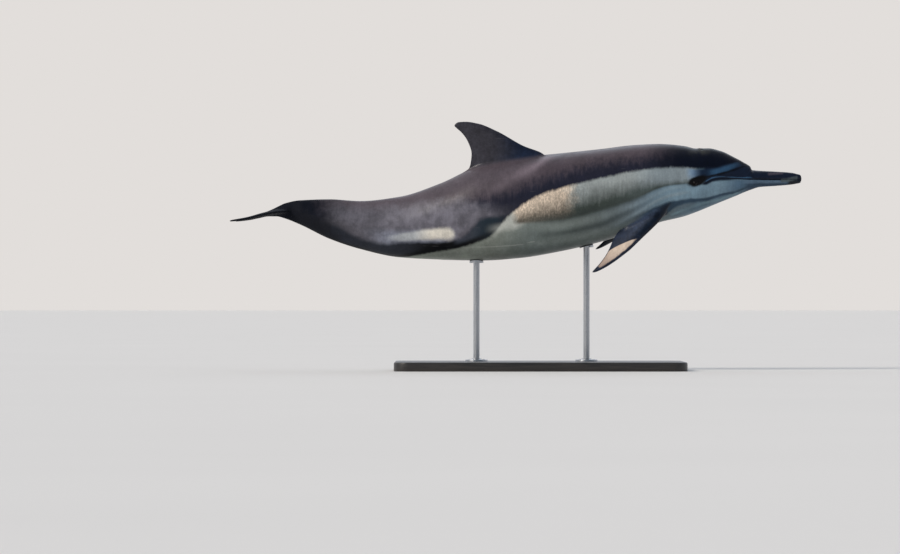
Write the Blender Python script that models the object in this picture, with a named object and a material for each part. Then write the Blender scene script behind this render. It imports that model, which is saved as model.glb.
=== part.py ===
"""Life-size display model of a leaping common dolphin, held on two rods above a flat plinth.

Blender 4.5: blender --background --python part.py. Metres, +Z up, +X towards the beak, and the
dolphin's right side faces -Y. The origin is on the floor, under the middle of the whole model.
"""

import math

import bmesh
import bpy
from mathutils import Matrix, Vector

# ---------------------------------------------------------------- driving dimensions

NOSE_X = 1.138  # the beak's tip
AXIS_Z = 0.72  # the level that every height of the animal is counted from
BANK_DEG = 12.0  # the back leans this far towards -Y
BANK_FADES = (1.25, 1.95)  # behind the beak's tip: the lean turns to level over this stretch
GAP = 0.0003  # between two solids that touch
BODY_SIDES = 32

# Lines of the body: (distance behind the beak's tip, value). Heights are counted from AXIS_Z.
BACK_LINE = (
    (0.000, 0.048), (0.014, 0.061), (0.038, 0.068), (0.106, 0.073), (0.166, 0.077), (0.194, 0.079),
    (0.206, 0.092), (0.230, 0.108), (0.266, 0.129), (0.326, 0.158), (0.374, 0.168), (0.422, 0.166),
    (0.470, 0.176), (0.566, 0.183), (0.662, 0.177), (0.806, 0.162), (0.966, 0.145), (1.126, 0.129),
    (1.286, 0.096), (1.446, 0.024), (1.606, -0.026), (1.766, -0.042), (1.886, -0.035),
    (2.006, -0.039), (2.066, -0.051), (2.102, -0.068), (2.128, -0.080),
)
BELLY_LINE = (
    (0.000, 0.040), (0.014, 0.031), (0.038, 0.026), (0.106, 0.020), (0.166, 0.015), (0.206, 0.007),
    (0.266, -0.017), (0.326, -0.041), (0.422, -0.081), (0.470, -0.099), (0.566, -0.122),
    (0.662, -0.157), (0.806, -0.201), (0.966, -0.239), (1.126, -0.266), (1.286, -0.278),
    (1.446, -0.274), (1.606, -0.264), (1.766, -0.230), (1.886, -0.192), (2.006, -0.136),
    (2.066, -0.112), (2.102, -0.103), (2.128, -0.103),
)
HALF_WIDTH = (
    (0.000, 0.004), (0.014, 0.012), (0.038, 0.017), (0.106, 0.022), (0.166, 0.029), (0.206, 0.039),
    (0.266, 0.059), (0.326, 0.079), (0.422, 0.104), (0.470, 0.113), (0.566, 0.130), (0.662, 0.145),
    (0.806, 0.161), (0.966, 0.170), (1.126, 0.168), (1.286, 0.152), (1.446, 0.120), (1.606, 0.085),
    (1.766, 0.057), (1.886, 0.040), (2.006, 0.026), (2.070, 0.017), (2.128, 0.007),
)
# Where the section is widest, as a share of its depth below the back.
WAIST_SHARE = (
    (0.0, 0.55), (0.206, 0.62), (0.33, 0.62), (0.47, 0.57), (0.70, 0.52), (1.20, 0.49), (1.60, 0.46),
    (2.128, 0.50),
)
# Superellipse powers above and below the waist: 2 is an ellipse, less makes a keel.
POWER_ABOVE = (
    (0.0, 2.2), (0.19, 2.2), (0.24, 1.9), (0.45, 2.05), (1.0, 2.1), (1.4, 1.9), (1.75, 1.62), (2.128, 1.6),
)
POWER_BELOW = (
    (0.0, 2.2), (0.30, 2.2), (0.60, 2.3), (1.2, 2.2), (1.5, 1.95), (1.75, 1.62), (2.128, 1.6),
)

# The body's pieces: name, start and end behind the beak's tip, and rings.
BODY_PIECES = (
    ("head", 0.197, 0.47, 11),
    ("neck", 0.47, 0.56, 4),
    ("chest", 0.56, 0.88, 8),
    ("trunk", 0.88, 1.30, 9),
    ("loin", 1.30, 1.62, 8),
    ("tail_stock", 1.62, 2.128, 13),
)
MOUTH_LINE = (
    (0.0, 0.045), (0.04, 0.044), (0.14, 0.044), (0.21, 0.048), (0.27, 0.056), (0.33, 0.063), (0.357, 0.060),
    (0.384, 0.047),
)
MOUTH_END = 0.384
MOUTH_CUT = (0.0016, 0.006)  # height and depth of the groove behind the beak

EYE_STATION, EYE_HEIGHT, EYE_RADIUS, EYE_PROUD = 0.431, 0.048, 0.0125, 0.0035

# The blowhole is a crescent cut on the crown, its horns towards the beak.
BLOWHOLE_STATION, BLOWHOLE_RADIUS, BLOWHOLE_WIDTH, BLOWHOLE_DEPTH = 0.400, 0.013, 0.0035, 0.010

# Edges of the dorsal fin: (behind the beak's tip, height), root to tip. The first point is buried.
FIN_FRONT = (
    (1.010, 0.090), (1.026, 0.140), (1.118, 0.181), (1.214, 0.234), (1.290, 0.268), (1.340, 0.280),
    (1.372, 0.278), (1.388, 0.268),
)
FIN_REAR = (
    (1.400, 0.010), (1.362, 0.068), (1.328, 0.095), (1.320, 0.150), (1.334, 0.198), (1.358, 0.234),
    (1.378, 0.252), (1.389, 0.262),
)
FIN_THICKNESS = ((0.0, 0.050), (0.25, 0.034), (0.6, 0.020), (0.9, 0.010), (1.0, 0.006))

# Outline of a flipper: (out from the root, forward of its axis), then its thickness over the span.
FLIPPER_FRONT = (
    (-0.040, 0.046), (0.020, 0.050), (0.100, 0.048), (0.160, 0.047), (0.210, 0.041), (0.260, 0.032),
    (0.304, 0.019), (0.328, 0.008), (0.337, 0.000),
)
FLIPPER_REAR = (
    (-0.040, -0.030), (0.030, -0.029), (0.090, -0.036), (0.140, -0.037), (0.180, -0.029),
    (0.215, -0.017), (0.255, -0.008), (0.300, -0.003), (0.337, -0.003),
)
FLIPPER_THICKNESS = ((0.0, 0.036), (0.2, 0.032), (0.5, 0.020), (0.85, 0.009), (1.0, 0.005))
FLIPPER_ROOT = (0.606, -0.074, 0.104)  # behind the beak's tip, height, and out from the midplane
# Down from level and back from square, in the body's own frame, then the front edge's turn outwards.
FLIPPER_POSE = {"right": (64.0, 44.0, 16.0), "left": (57.0, 36.0, 16.0)}

# Outline of one fluke: (behind the beak's tip, out from the midplane), root to tip.
FLUKE_FRONT = (
    (2.030, GAP / 2), (2.050, 0.030), (2.088, 0.090), (2.134, 0.150), (2.182, 0.202), (2.228, 0.238),
    (2.262, 0.254), (2.275, 0.259),
)
FLUKE_REAR = (
    (2.212, GAP / 2), (2.232, 0.024), (2.242, 0.070), (2.242, 0.120), (2.248, 0.170), (2.261, 0.216),
    (2.271, 0.245), (2.276, 0.257),
)
FLUKE_THICKNESS = ((0.0, 0.022), (0.15, 0.020), (0.5, 0.013), (0.85, 0.007), (1.0, 0.004))
FLUKE_LEVEL = ((2.02, -0.080), (2.10, -0.088), (2.16, -0.102), (2.21, -0.117), (2.276, -0.129))

THIN_EDGE = 0.0016  # thickness of every trailing edge

PLINTH_LENGTH, PLINTH_WIDTH, PLINTH_HEIGHT, PLINTH_X = 1.16, 0.64, 0.036, 0.09
PLINTH_CORNER, PLINTH_BEVEL = 0.06, 0.008
ROD_STATIONS = (("front", 0.86), ("rear", 1.30))
ROD_RADIUS, FOOT_RADIUS, FOOT_HEIGHT = 0.0125, 0.045, 0.012
CUP_RADIUS, CUP_DROP = 0.028, 0.012  # the cup under the belly, and how far its rim hangs below
ROD_SIDES = 24

# ---------------------------------------------------------------- curves and sections


def along(line, station):
    """Value of a line of (station, value) points, on a smooth curve that never overshoots them."""
    xs = [point[0] for point in line]
    ys = [point[1] for point in line]
    if station <= xs[0]:
        return ys[0]
    if station >= xs[-1]:
        return ys[-1]
    last = len(xs) - 1
    steps = [xs[i + 1] - xs[i] for i in range(last)]
    slopes = [(ys[i + 1] - ys[i]) / steps[i] for i in range(last)]
    tangents = [slopes[0]]
    for i in range(1, last):
        if slopes[i - 1] * slopes[i] <= 0:
            tangents.append(0.0)
            continue
        before, after = 2 * steps[i] + steps[i - 1], steps[i] + 2 * steps[i - 1]
        tangents.append((before + after) / (before / slopes[i - 1] + after / slopes[i]))
    tangents.append(slopes[-1])
    i = max(k for k in range(last) if xs[k] <= station)
    t = (station - xs[i]) / steps[i]
    rise = (3 - 2 * t) * t * t
    return (
        ys[i] * (1 - rise)
        + ys[i + 1] * rise
        + steps[i] * t * (1 - t) * (tangents[i] * (1 - t) - tangents[i + 1] * t)
    )


def smooth_step(low, high, value):
    t = min(1.0, max(0.0, (value - low) / (high - low)))
    return t * t * (3 - 2 * t)


def bank(station):
    """How far the section leans, in radians: all of it at the head, none at the flukes."""
    return math.radians(BANK_DEG) * (1 - smooth_step(*BANK_FADES, station))


def middle(station):
    """Height of the section's middle, which the lean turns about."""
    return (along(BACK_LINE, station) + along(BELLY_LINE, station)) / 2


def placed(station, out, height):
    """A point of the upright animal, in the row frame, leaning as its section does."""
    centre, lean = middle(station), bank(station)
    up = height - centre
    return Vector(
        (
            NOSE_X - station,
            out * math.cos(lean) - up * math.sin(lean),
            AXIS_Z + centre + out * math.sin(lean) + up * math.cos(lean),
        )
    )


def section_point(station, angle, grow=0.0):
    """(out, height) on the section's edge. The angle is 0 on the back and a quarter turn on the left."""
    back = along(BACK_LINE, station) + grow
    belly = along(BELLY_LINE, station) - grow
    half = along(HALF_WIDTH, station) + grow
    waist = back - (back - belly) * along(WAIST_SHARE, station)
    sine, cosine = math.sin(angle), math.cos(angle)
    power = along(POWER_ABOVE if cosine > 0 else POWER_BELOW, station)
    reach = back - waist if cosine > 0 else waist - belly
    out = half * math.copysign(abs(sine) ** (2 / power), sine)
    return out, waist + reach * math.copysign(abs(cosine) ** (2 / power), cosine)


def body_ring(station, grow=0.0):
    turns = [2 * math.pi * i / BODY_SIDES for i in range(BODY_SIDES)]
    return [placed(station, *section_point(station, angle, grow)) for angle in turns]


def spaced(first, last, count):
    return [first + (last - first) * i / (count - 1) for i in range(count)]


# ---------------------------------------------------------------- solids from rings


def material(name, colour, roughness, metallic=0.0):
    made = bpy.data.materials.new(name)
    made.use_nodes = True
    shader = made.node_tree.nodes["Principled BSDF"]
    shader.inputs["Base Color"].default_value = (*colour, 1.0)
    shader.inputs["Roughness"].default_value = roughness
    shader.inputs["Metallic"].default_value = metallic
    return made


def finished(bm, name, surface):
    """The object of a closed bmesh, its faces pointing out, smooth but for its sharp edges."""
    bmesh.ops.recalc_face_normals(bm, faces=bm.faces)
    bmesh.ops.triangulate(bm, faces=bm.faces, quad_method="FIXED")
    mesh = bpy.data.meshes.new(name)
    bm.to_mesh(mesh)
    bm.free()
    mesh.shade_smooth()
    mesh.set_sharp_from_angle(angle=math.radians(40))
    made = bpy.data.objects.new(name, mesh)
    mesh.materials.append(surface)
    bpy.context.scene.collection.objects.link(made)
    return made


def loft(name, rings, surface):
    """A closed solid through rings of equally many points, with a flat cap at each end."""
    bm = bmesh.new()
    loops = []
    for ring in rings:
        points = [bm.verts.new(point) for point in ring]
        loops.append([bm.edges.new(pair) for pair in zip(points, points[1:] + points[:1])])
    for one, other in zip(loops, loops[1:]):
        bmesh.ops.bridge_loops(bm, edges=one + other)
    for end in (loops[0], loops[-1]):
        bmesh.ops.contextual_create(bm, geom=end)
    return finished(bm, name, surface)


def cylinder(name, radius, low, high, centre, surface, sides=ROD_SIDES):
    bm = bmesh.new()
    bmesh.ops.create_cone(
        bm, cap_ends=True, segments=sides, radius1=radius, radius2=radius, depth=high - low
    )
    bmesh.ops.translate(bm, verts=bm.verts, vec=(*centre, (low + high) / 2))
    return finished(bm, name, surface)


def helper(made):
    """Marks a cutter, which isn't part of the model."""
    made.hide_render = True
    made.display_type = "WIRE"
    return made


def cut(target, cutter):
    """Takes the cutter's space away from the target."""
    modifier = target.modifiers.new("cut_by_" + cutter.name, "BOOLEAN")
    modifier.operation = "DIFFERENCE"
    modifier.solver = "EXACT"
    modifier.object = cutter


# ---------------------------------------------------------------- blades: fins, flippers, flukes


def wing_half(share):
    """Half thickness of a wing section of thickness 1, at a share of its chord from the front."""
    root = 0.2969 * math.sqrt(share)
    return 5 * (root + share * (-0.1260 + share * (-0.3516 + share * (0.2843 - 0.1015 * share))))


def edge_point(edge, share):
    """A point on an edge line of (a, b) points, spaced evenly by number and joined smoothly."""
    place = share * (len(edge) - 1)
    return tuple(along([(i, point[k]) for i, point in enumerate(edge)], place) for k in (0, 1))


def blade_rings(front, rear, thickness, to_frame, steps=14, sides=8):
    """Rings of a blade: each is a wing section from the front edge to the rear one.

    to_frame(a, b, up) turns a point of the outline and a height over it into the row frame.
    """
    shares = [(1 - math.cos(math.pi * i / sides)) / 2 for i in range(sides + 1)]
    rings = []
    for span in spaced(0.0, 1.0, steps):
        a, b = edge_point(front, span), edge_point(rear, span)
        thick = along(thickness, span)
        half = [max(wing_half(c) * thick, THIN_EDGE / 2 * c) for c in shares]
        half[-1] = THIN_EDGE / 2
        spots = [(a[0] + (b[0] - a[0]) * c, a[1] + (b[1] - a[1]) * c) for c in shares]
        over = [to_frame(*spots[i], half[i]) for i in range(sides + 1)]
        under = [to_frame(*spots[i], -half[i]) for i in range(sides, 0, -1)]
        rings.append(over + under)
    return rings


def fin_frame(station, height, up):
    return placed(station, up, height)


def flipper_frame(side):
    """Turns (out, forward, up) of a flipper's own outline into the row frame."""
    droop, sweep, twist = (math.radians(angle) for angle in FLIPPER_POSE[side])
    sign = 1 if side == "left" else -1
    station, height, half = FLIPPER_ROOT
    root = placed(station, sign * half, height)
    # The blade starts level and square to the body, sweeps back in its plane, then drops.
    out_way = Vector((-math.sin(sweep), sign * math.cos(sweep), 0.0))
    front_way = Vector((math.cos(sweep), sign * math.sin(sweep), 0.0))
    drop = Matrix.Rotation(-sign * droop, 3, "X")
    lean = Matrix.Rotation(bank(station), 3, "X")
    out_way, front_way = lean @ drop @ out_way, lean @ drop @ front_way
    turn = Matrix.Rotation(-twist * sign, 3, out_way)
    front_way = turn @ front_way
    up_way = out_way.cross(front_way) * -sign
    return lambda out, forward, up: root + out_way * out + front_way * forward + up_way * up


def fluke_frame(sign):
    def place(station, out, up):
        return Vector((NOSE_X - station, sign * out, AXIS_Z + along(FLUKE_LEVEL, station) + up))

    return place


# ---------------------------------------------------------------- the parts of the animal


def body_stations(first, last, rings):
    """Ring places of one body piece, GAP / 2 short of each neighbour."""
    return spaced(first + GAP / 2, last - GAP / 2, rings)


def all_stations():
    """Every ring place of the head, trunk and tail, in order."""
    return [s for _, first, last, rings in BODY_PIECES for s in body_stations(first, last, rings)]


def edge_angle(station, height):
    """The angle at which the section's left edge passes this height."""
    back, belly = along(BACK_LINE, station), along(BELLY_LINE, station)
    waist = back - (back - belly) * along(WAIST_SHARE, station)
    if height > waist:
        return math.acos(((height - waist) / (back - waist)) ** (along(POWER_ABOVE, station) / 2))
    return math.acos(-(((waist - height) / (waist - belly)) ** (along(POWER_BELOW, station) / 2)))


def beak_ring(station, upper):
    """The part of a section that lies above or below the mouth line, short of it by half the gap."""
    mouth = along(MOUTH_LINE, station)
    if upper:
        reach = edge_angle(station, mouth + GAP / 2)
        angles = spaced(-reach, reach, BODY_SIDES // 2 + 1)
    else:
        reach = edge_angle(station, mouth - GAP / 2)
        angles = spaced(reach, 2 * math.pi - reach, BODY_SIDES // 2 + 1)
    return [placed(station, *section_point(station, angle)) for angle in angles]


def make_beak(skin_dark, skin_pale):
    stations = [0.0, 0.004, 0.012, 0.026, 0.05, 0.08, 0.11, 0.14, 0.17, BODY_PIECES[0][1] - GAP]
    loft("beak_upper", [beak_ring(s, True) for s in stations], skin_dark)
    loft("beak_lower", [beak_ring(s, False) for s in stations], skin_pale)


def make_body(surfaces):
    made = {}
    for name, first, last, rings in BODY_PIECES:
        stations = body_stations(first, last, rings)
        made[name] = loft(name, [body_ring(s) for s in stations], surfaces[name])
    grown = loft("body_cutter", [body_ring(s, GAP) for s in all_stations()], surfaces["trunk"])
    return made, helper(grown)


def surface_out(station, height):
    """How far out the skin is at this height of the upright section."""
    back, belly = along(BACK_LINE, station), along(BELLY_LINE, station)
    waist = back - (back - belly) * along(WAIST_SHARE, station)
    above = height > waist
    share = (height - waist) / (back - waist) if above else (waist - height) / (waist - belly)
    power = along(POWER_ABOVE if above else POWER_BELOW, station)
    return along(HALF_WIDTH, station) * (1 - share**power) ** (1 / power)


def eyeball(name, sign, radius, surface):
    out = surface_out(EYE_STATION, EYE_HEIGHT) - EYE_RADIUS + EYE_PROUD
    bm = bmesh.new()
    bmesh.ops.create_uvsphere(bm, u_segments=14, v_segments=8, radius=radius)
    bmesh.ops.translate(bm, verts=bm.verts, vec=placed(EYE_STATION, sign * out, EYE_HEIGHT))
    return finished(bm, name, surface)


def make_eyes(head, surface):
    for side, sign in (("left", 1), ("right", -1)):
        eyeball("eye_" + side, sign, EYE_RADIUS, surface)
        socket = helper(eyeball("socket_" + side, sign, EYE_RADIUS + GAP, surface))
        cut(head, socket)


def cut_mouth(head, surface):
    """A groove on each cheek that carries the mouth line back from the beak to the gape."""
    height, depth = MOUTH_CUT
    for side, sign in (("left", 1), ("right", -1)):
        rings = []
        for station in spaced(BODY_PIECES[0][1] - 0.01, MOUTH_END, 10):
            level = along(MOUTH_LINE, station)
            outer = surface_out(station, level)
            corners = (
                (outer - depth, level - height / 2),
                (outer + depth, level - height / 2),
                (outer + depth, level + height / 2),
                (outer - depth, level + height / 2),
            )
            rings.append([placed(station, sign * out, up) for out, up in corners])
        cut(head, helper(loft("mouth_cutter_" + side, rings, surface)))


def cut_blowhole(head, surface):
    """A crescent slot sunk into the crown."""
    rings = []
    for i in range(9):
        angle = math.pi * (i / 8 - 0.5)
        taper = 0.35 + 0.65 * math.cos(angle)
        station = BLOWHOLE_STATION + BLOWHOLE_RADIUS * math.cos(angle)
        out = BLOWHOLE_RADIUS * 1.3 * math.sin(angle)
        top = along(BACK_LINE, station)
        half = BLOWHOLE_WIDTH / 2 * taper
        corners = (
            (station - half, top - BLOWHOLE_DEPTH * taper),
            (station + half, top - BLOWHOLE_DEPTH * taper),
            (station + half, top + BLOWHOLE_DEPTH),
            (station - half, top + BLOWHOLE_DEPTH),
        )
        rings.append([placed(s, out, up) for s, up in corners])
    cut(head, helper(loft("blowhole_cutter", rings, surface)))


def make_dorsal_fin(body_cutter, surface):
    rings = blade_rings(FIN_FRONT, FIN_REAR, FIN_THICKNESS, fin_frame)
    cut(loft("dorsal_fin", rings, surface), body_cutter)


def make_flippers(body_cutter, surface):
    for side in FLIPPER_POSE:
        place = flipper_frame(side)
        rings = blade_rings(FLIPPER_FRONT, FLIPPER_REAR, FLIPPER_THICKNESS, place)
        cut(loft("flipper_" + side, rings, surface), body_cutter)


def make_flukes(body_cutter, surface):
    for side, sign in (("left", 1), ("right", -1)):
        place = fluke_frame(sign)
        rings = blade_rings(FLUKE_FRONT, FLUKE_REAR, FLUKE_THICKNESS, place)
        cut(loft("fluke_" + side, rings, surface), body_cutter)


# ---------------------------------------------------------------- the stand


def make_plinth(surface):
    bm = bmesh.new()
    bmesh.ops.create_cube(bm, size=1.0)
    bmesh.ops.scale(bm, verts=bm.verts, vec=(PLINTH_LENGTH, PLINTH_WIDTH, PLINTH_HEIGHT))
    uprights = [e for e in bm.edges if abs(e.verts[0].co.z - e.verts[1].co.z) > PLINTH_HEIGHT / 2]
    bmesh.ops.bevel(
        bm, geom=uprights, offset=PLINTH_CORNER, segments=6, profile=0.5, affect="EDGES", material=-1
    )
    rim = [e for e in bm.edges if all(v.co.z > PLINTH_HEIGHT * 0.4 for v in e.verts)]
    bmesh.ops.bevel(
        bm, geom=rim, offset=PLINTH_BEVEL, segments=2, profile=0.5, affect="EDGES", material=-1
    )
    bmesh.ops.translate(bm, verts=bm.verts, vec=(PLINTH_X, 0.0, PLINTH_HEIGHT / 2))
    return finished(bm, "stand_plinth", surface)


def make_rods(body_cutter, metal):
    for name, station in ROD_STATIONS:
        centre = (NOSE_X - station, 0.0)
        belly = AXIS_Z + along(BELLY_LINE, station)
        foot_low = PLINTH_HEIGHT + GAP
        rod_low = foot_low + FOOT_HEIGHT + GAP
        cup_low = belly - CUP_DROP
        cylinder("stand_foot_" + name, FOOT_RADIUS, foot_low, rod_low - GAP, centre, metal)
        cylinder("stand_rod_" + name, ROD_RADIUS, rod_low, cup_low - GAP, centre, metal)
        cup = cylinder("stand_cup_" + name, CUP_RADIUS, cup_low, belly + CUP_RADIUS, centre, metal)
        cut(cup, body_cutter)


# ---------------------------------------------------------------- the model


def main():
    for old in list(bpy.data.objects):
        bpy.data.objects.remove(old)
    cape = material("cape_skin", (0.055, 0.055, 0.07), 0.3)
    flank = material("flank_skin", (0.28, 0.29, 0.28), 0.32)
    belly = material("belly_skin", (0.42, 0.45, 0.44), 0.35)
    eye = material("eye_dark", (0.008, 0.007, 0.008), 0.1)
    steel = material("brushed_steel", (0.55, 0.56, 0.58), 0.35, 1.0)
    oak = material("black_oak", (0.03, 0.028, 0.027), 0.45)
    surfaces = dict(head=flank, neck=flank, chest=flank, trunk=flank, loin=cape, tail_stock=cape)

    pieces, body_cutter = make_body(surfaces)
    make_beak(cape, belly)
    make_eyes(pieces["head"], eye)
    cut_mouth(pieces["head"], cape)
    cut_blowhole(pieces["head"], cape)
    make_dorsal_fin(body_cutter, cape)
    make_flippers(body_cutter, cape)
    make_flukes(body_cutter, cape)
    make_plinth(oak)
    make_rods(body_cutter, steel)


main()
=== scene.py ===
"""Dresses the common dolphin and its stand: one skin with its markings, two eyes and the stand's steel."""

import math

import bmesh
import bpy
import numpy as np
from mathutils import Matrix, Vector
from mathutils.kdtree import KDTree


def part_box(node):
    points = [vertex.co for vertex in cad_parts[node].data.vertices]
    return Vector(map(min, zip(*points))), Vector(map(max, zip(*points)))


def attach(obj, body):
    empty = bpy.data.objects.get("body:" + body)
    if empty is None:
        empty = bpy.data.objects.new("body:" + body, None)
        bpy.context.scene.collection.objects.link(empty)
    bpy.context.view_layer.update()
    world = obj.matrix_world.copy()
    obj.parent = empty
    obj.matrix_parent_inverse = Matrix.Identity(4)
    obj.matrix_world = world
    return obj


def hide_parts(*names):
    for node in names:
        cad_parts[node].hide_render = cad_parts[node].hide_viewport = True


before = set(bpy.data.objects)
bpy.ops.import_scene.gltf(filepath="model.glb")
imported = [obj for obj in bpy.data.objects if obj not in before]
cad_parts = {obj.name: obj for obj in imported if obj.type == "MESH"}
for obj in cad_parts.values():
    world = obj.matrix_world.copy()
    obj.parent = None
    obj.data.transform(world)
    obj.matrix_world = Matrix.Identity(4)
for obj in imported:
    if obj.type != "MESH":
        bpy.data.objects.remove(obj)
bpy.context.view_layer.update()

bl_info = {
    "name": "Common Dolphin Dresser",
    "version": (1, 0, 0),
    "blender": (4, 5, 0),
    "location": "3D View > Sidebar > Dolphin",
    "description": "Skin, markings, eyes, display stand and studio for a life-size leaping dolphin",
    "category": "Object",
}

BODY = "root"  # the one body that everything rides on
ATLAS = "OFBake"
FLIPPER_PARTS = {"left": 2, "right": 3}  # numbers in the joined skin: body, dorsal fin, flippers, flukes
FLESH = (
    "beak_upper", "beak_lower", "head", "neck", "chest", "trunk", "loin", "tail_stock", "dorsal_fin",
    "flipper_left", "flipper_right", "fluke_left", "fluke_right",
)

# ---------------------------------------------------------------- the dolphin's driving lines

NOSE_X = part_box("beak_upper")[1].x  # the beak's tip
AXIS_Z = 0.72  # the level that every height of the animal is counted from
BANK = math.radians(12.0)  # the back leans this far towards -Y
BANK_FADES = (1.25, 1.95)  # behind the beak's tip: the lean turns to level over this stretch
TIP_ROUND = 0.014  # the beak's tip is a dome of this length
BODY_END = 2.205

# (distance behind the beak's tip, height over AXIS_Z)
BACK_LINE = (
    (0.014, 0.0652), (0.038, 0.071), (0.106, 0.076), (0.166, 0.079), (0.194, 0.082), (0.206, 0.097),
    (0.230, 0.112), (0.266, 0.132), (0.326, 0.160), (0.374, 0.170), (0.422, 0.169), (0.470, 0.179),
    (0.566, 0.187), (0.662, 0.183), (0.806, 0.166), (0.966, 0.149), (1.126, 0.133), (1.286, 0.101),
    (1.446, 0.029), (1.606, -0.024), (1.766, -0.042), (1.886, -0.035), (2.006, -0.039), (2.066, -0.051),
    (2.102, -0.068), (2.128, -0.080), (2.170, -0.098), (2.205, -0.114),
)
BELLY_LINE = (
    (0.014, 0.0282), (0.038, 0.024), (0.106, 0.018), (0.166, 0.014), (0.206, 0.002), (0.266, -0.023),
    (0.326, -0.047), (0.422, -0.086), (0.470, -0.103), (0.566, -0.126), (0.662, -0.160),
    (0.806, -0.205), (0.966, -0.243), (1.126, -0.270), (1.286, -0.281), (1.446, -0.277),
    (1.606, -0.268), (1.766, -0.234), (1.886, -0.194), (2.006, -0.136), (2.066, -0.112),
    (2.102, -0.103), (2.128, -0.103), (2.170, -0.111), (2.205, -0.118),
)
HALF_WIDTH = (
    (0.014, 0.012), (0.038, 0.017), (0.106, 0.022), (0.166, 0.029), (0.206, 0.039), (0.266, 0.059),
    (0.326, 0.079), (0.422, 0.104), (0.470, 0.113), (0.566, 0.130), (0.662, 0.145), (0.806, 0.161),
    (0.966, 0.170), (1.126, 0.168), (1.286, 0.152), (1.446, 0.120), (1.606, 0.085), (1.766, 0.057),
    (1.886, 0.040), (2.006, 0.026), (2.070, 0.017), (2.128, 0.009), (2.205, 0.003),
)
WAIST_SHARE = (
    (0.0, 0.55), (0.206, 0.62), (0.33, 0.62), (0.47, 0.57), (0.70, 0.52), (1.20, 0.49), (1.60, 0.46),
    (2.205, 0.50),
)
POWER_ABOVE = (
    (0.0, 2.2), (0.19, 2.2), (0.24, 1.9), (0.45, 2.05), (1.0, 2.1), (1.4, 1.9), (1.75, 1.62),
    (2.205, 1.6),
)
POWER_BELOW = (
    (0.0, 2.2), (0.30, 2.2), (0.60, 2.3), (1.2, 2.2), (1.5, 1.95), (1.75, 1.62), (2.205, 1.6),
)
MOUTH_LINE = (
    (0.0, 0.045), (0.04, 0.047), (0.14, 0.049), (0.21, 0.053), (0.27, 0.059), (0.33, 0.065),
    (0.357, 0.062), (0.384, 0.050),
)
MOUTH_END = 0.384

EYE_OPENING = (0.0110, 0.0062)  # half length and half height between the lids
EYE_SLANT = 0.05  # the opening is a little lower in front
LID_REACH = 4.0  # in eyeball radii
LID_SINK = 0.0035  # how far the skin runs behind the eyeball's front, inside the opening
EYE_FORWARD = 0.10  # the eye looks this far forward for each unit out
CORNEA_EDGE = 0.80  # cosine of the angle from the eye's middle where the cornea starts
CORNEA_RISE = 0.0035  # metres for each unit of cosine past that edge
EAR = (0.487, 81)  # behind the beak's tip, and degrees down from the back
BLOWHOLE_STATION, BLOWHOLE_RADIUS = 0.398, 0.013
NAVEL_STATION, VENT_STATION = 1.02, 1.545
SLIT = (1.325, 1.46)

# Where the skin's mesh is finer, behind the beak's tip and in degrees down from the back.
FINE_SIDE = ((0.401, 0.461, 67, 85), (0.415, 0.447, 71, 81), (0.205, 0.398, 68, 86))  # eye, lids, mouth
FINE_CROWN = ((0.376, 0.424, 13), (0.384, 0.418, 9))  # both sides of the blowhole
FINE_BELLY = ((1.00, 1.04), SLIT, (1.525, 1.565))  # navel, slit and vent

# Edges of the dorsal fin: (behind the beak's tip, height), root to tip, then thickness over the span.
FIN_FRONT = (
    (1.000, 0.080), (1.026, 0.144), (1.118, 0.185), (1.214, 0.240), (1.290, 0.272), (1.340, 0.280),
    (1.372, 0.278), (1.388, 0.268),
)
FIN_REAR = (
    (1.400, 0.000), (1.362, 0.068), (1.328, 0.095), (1.320, 0.150), (1.334, 0.198), (1.358, 0.234),
    (1.378, 0.252), (1.389, 0.262),
)
FIN_THICKNESS = ((0.0, 0.050), (0.25, 0.034), (0.6, 0.020), (0.9, 0.011), (1.0, 0.007))

# Outline of a flipper: (out from the root, forward of its axis).
FLIPPER_FRONT = (
    (-0.080, 0.038), (0.020, 0.050), (0.100, 0.048), (0.160, 0.047), (0.210, 0.041), (0.260, 0.032),
    (0.304, 0.019), (0.328, 0.008), (0.337, 0.000),
)
FLIPPER_REAR = (
    (-0.080, -0.024), (0.020, -0.036), (0.080, -0.045), (0.130, -0.046), (0.175, -0.038),
    (0.215, -0.022), (0.255, -0.010), (0.300, -0.004), (0.337, -0.003),
)
FLIPPER_THICKNESS = ((0.0, 0.036), (0.2, 0.032), (0.5, 0.020), (0.85, 0.009), (1.0, 0.005))
FLIPPER_ROOT = (0.606, -0.074, 0.104)  # behind the beak's tip, height, and out from the midplane
# Down from level and back from square, in the body's own frame, then the front edge's turn outwards.
FLIPPER_POSE = {"right": (64.0, 44.0, 16.0), "left": (55.0, 38.0, 16.0)}

# Outline of a fluke: (behind the beak's tip, out from the midplane).
FLUKE_FRONT = (
    (2.030, 0.000), (2.050, 0.030), (2.088, 0.090), (2.134, 0.150), (2.182, 0.202), (2.228, 0.238),
    (2.262, 0.254), (2.275, 0.259),
)
FLUKE_REAR = (
    (2.212, 0.000), (2.232, 0.024), (2.242, 0.070), (2.242, 0.120), (2.248, 0.170), (2.261, 0.216),
    (2.271, 0.245), (2.276, 0.257),
)
FLUKE_THICKNESS = ((0.0, 0.022), (0.15, 0.020), (0.5, 0.013), (0.85, 0.007), (1.0, 0.004))
FLUKE_LEVEL = ((2.02, -0.080), (2.10, -0.087), (2.16, -0.099), (2.21, -0.112), (2.276, -0.122))

FLUKE_ROLL = 0.016  # the left fluke rides this much higher for every metre out
TRAILING_EDGE = 0.0016  # thickness of every fin's rear edge

# How the skin's mesh is spread: more columns on the head than on the trunk, more rows on the sides.
STATION_SPREAD = (
    (0.0, 0.0), (0.02, 0.002), (0.05, 0.016), (0.14, 0.11), (0.24, 0.21), (0.50, 0.52), (1.0, BODY_END),
)
SIDE_FOCUS = 0.45

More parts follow.
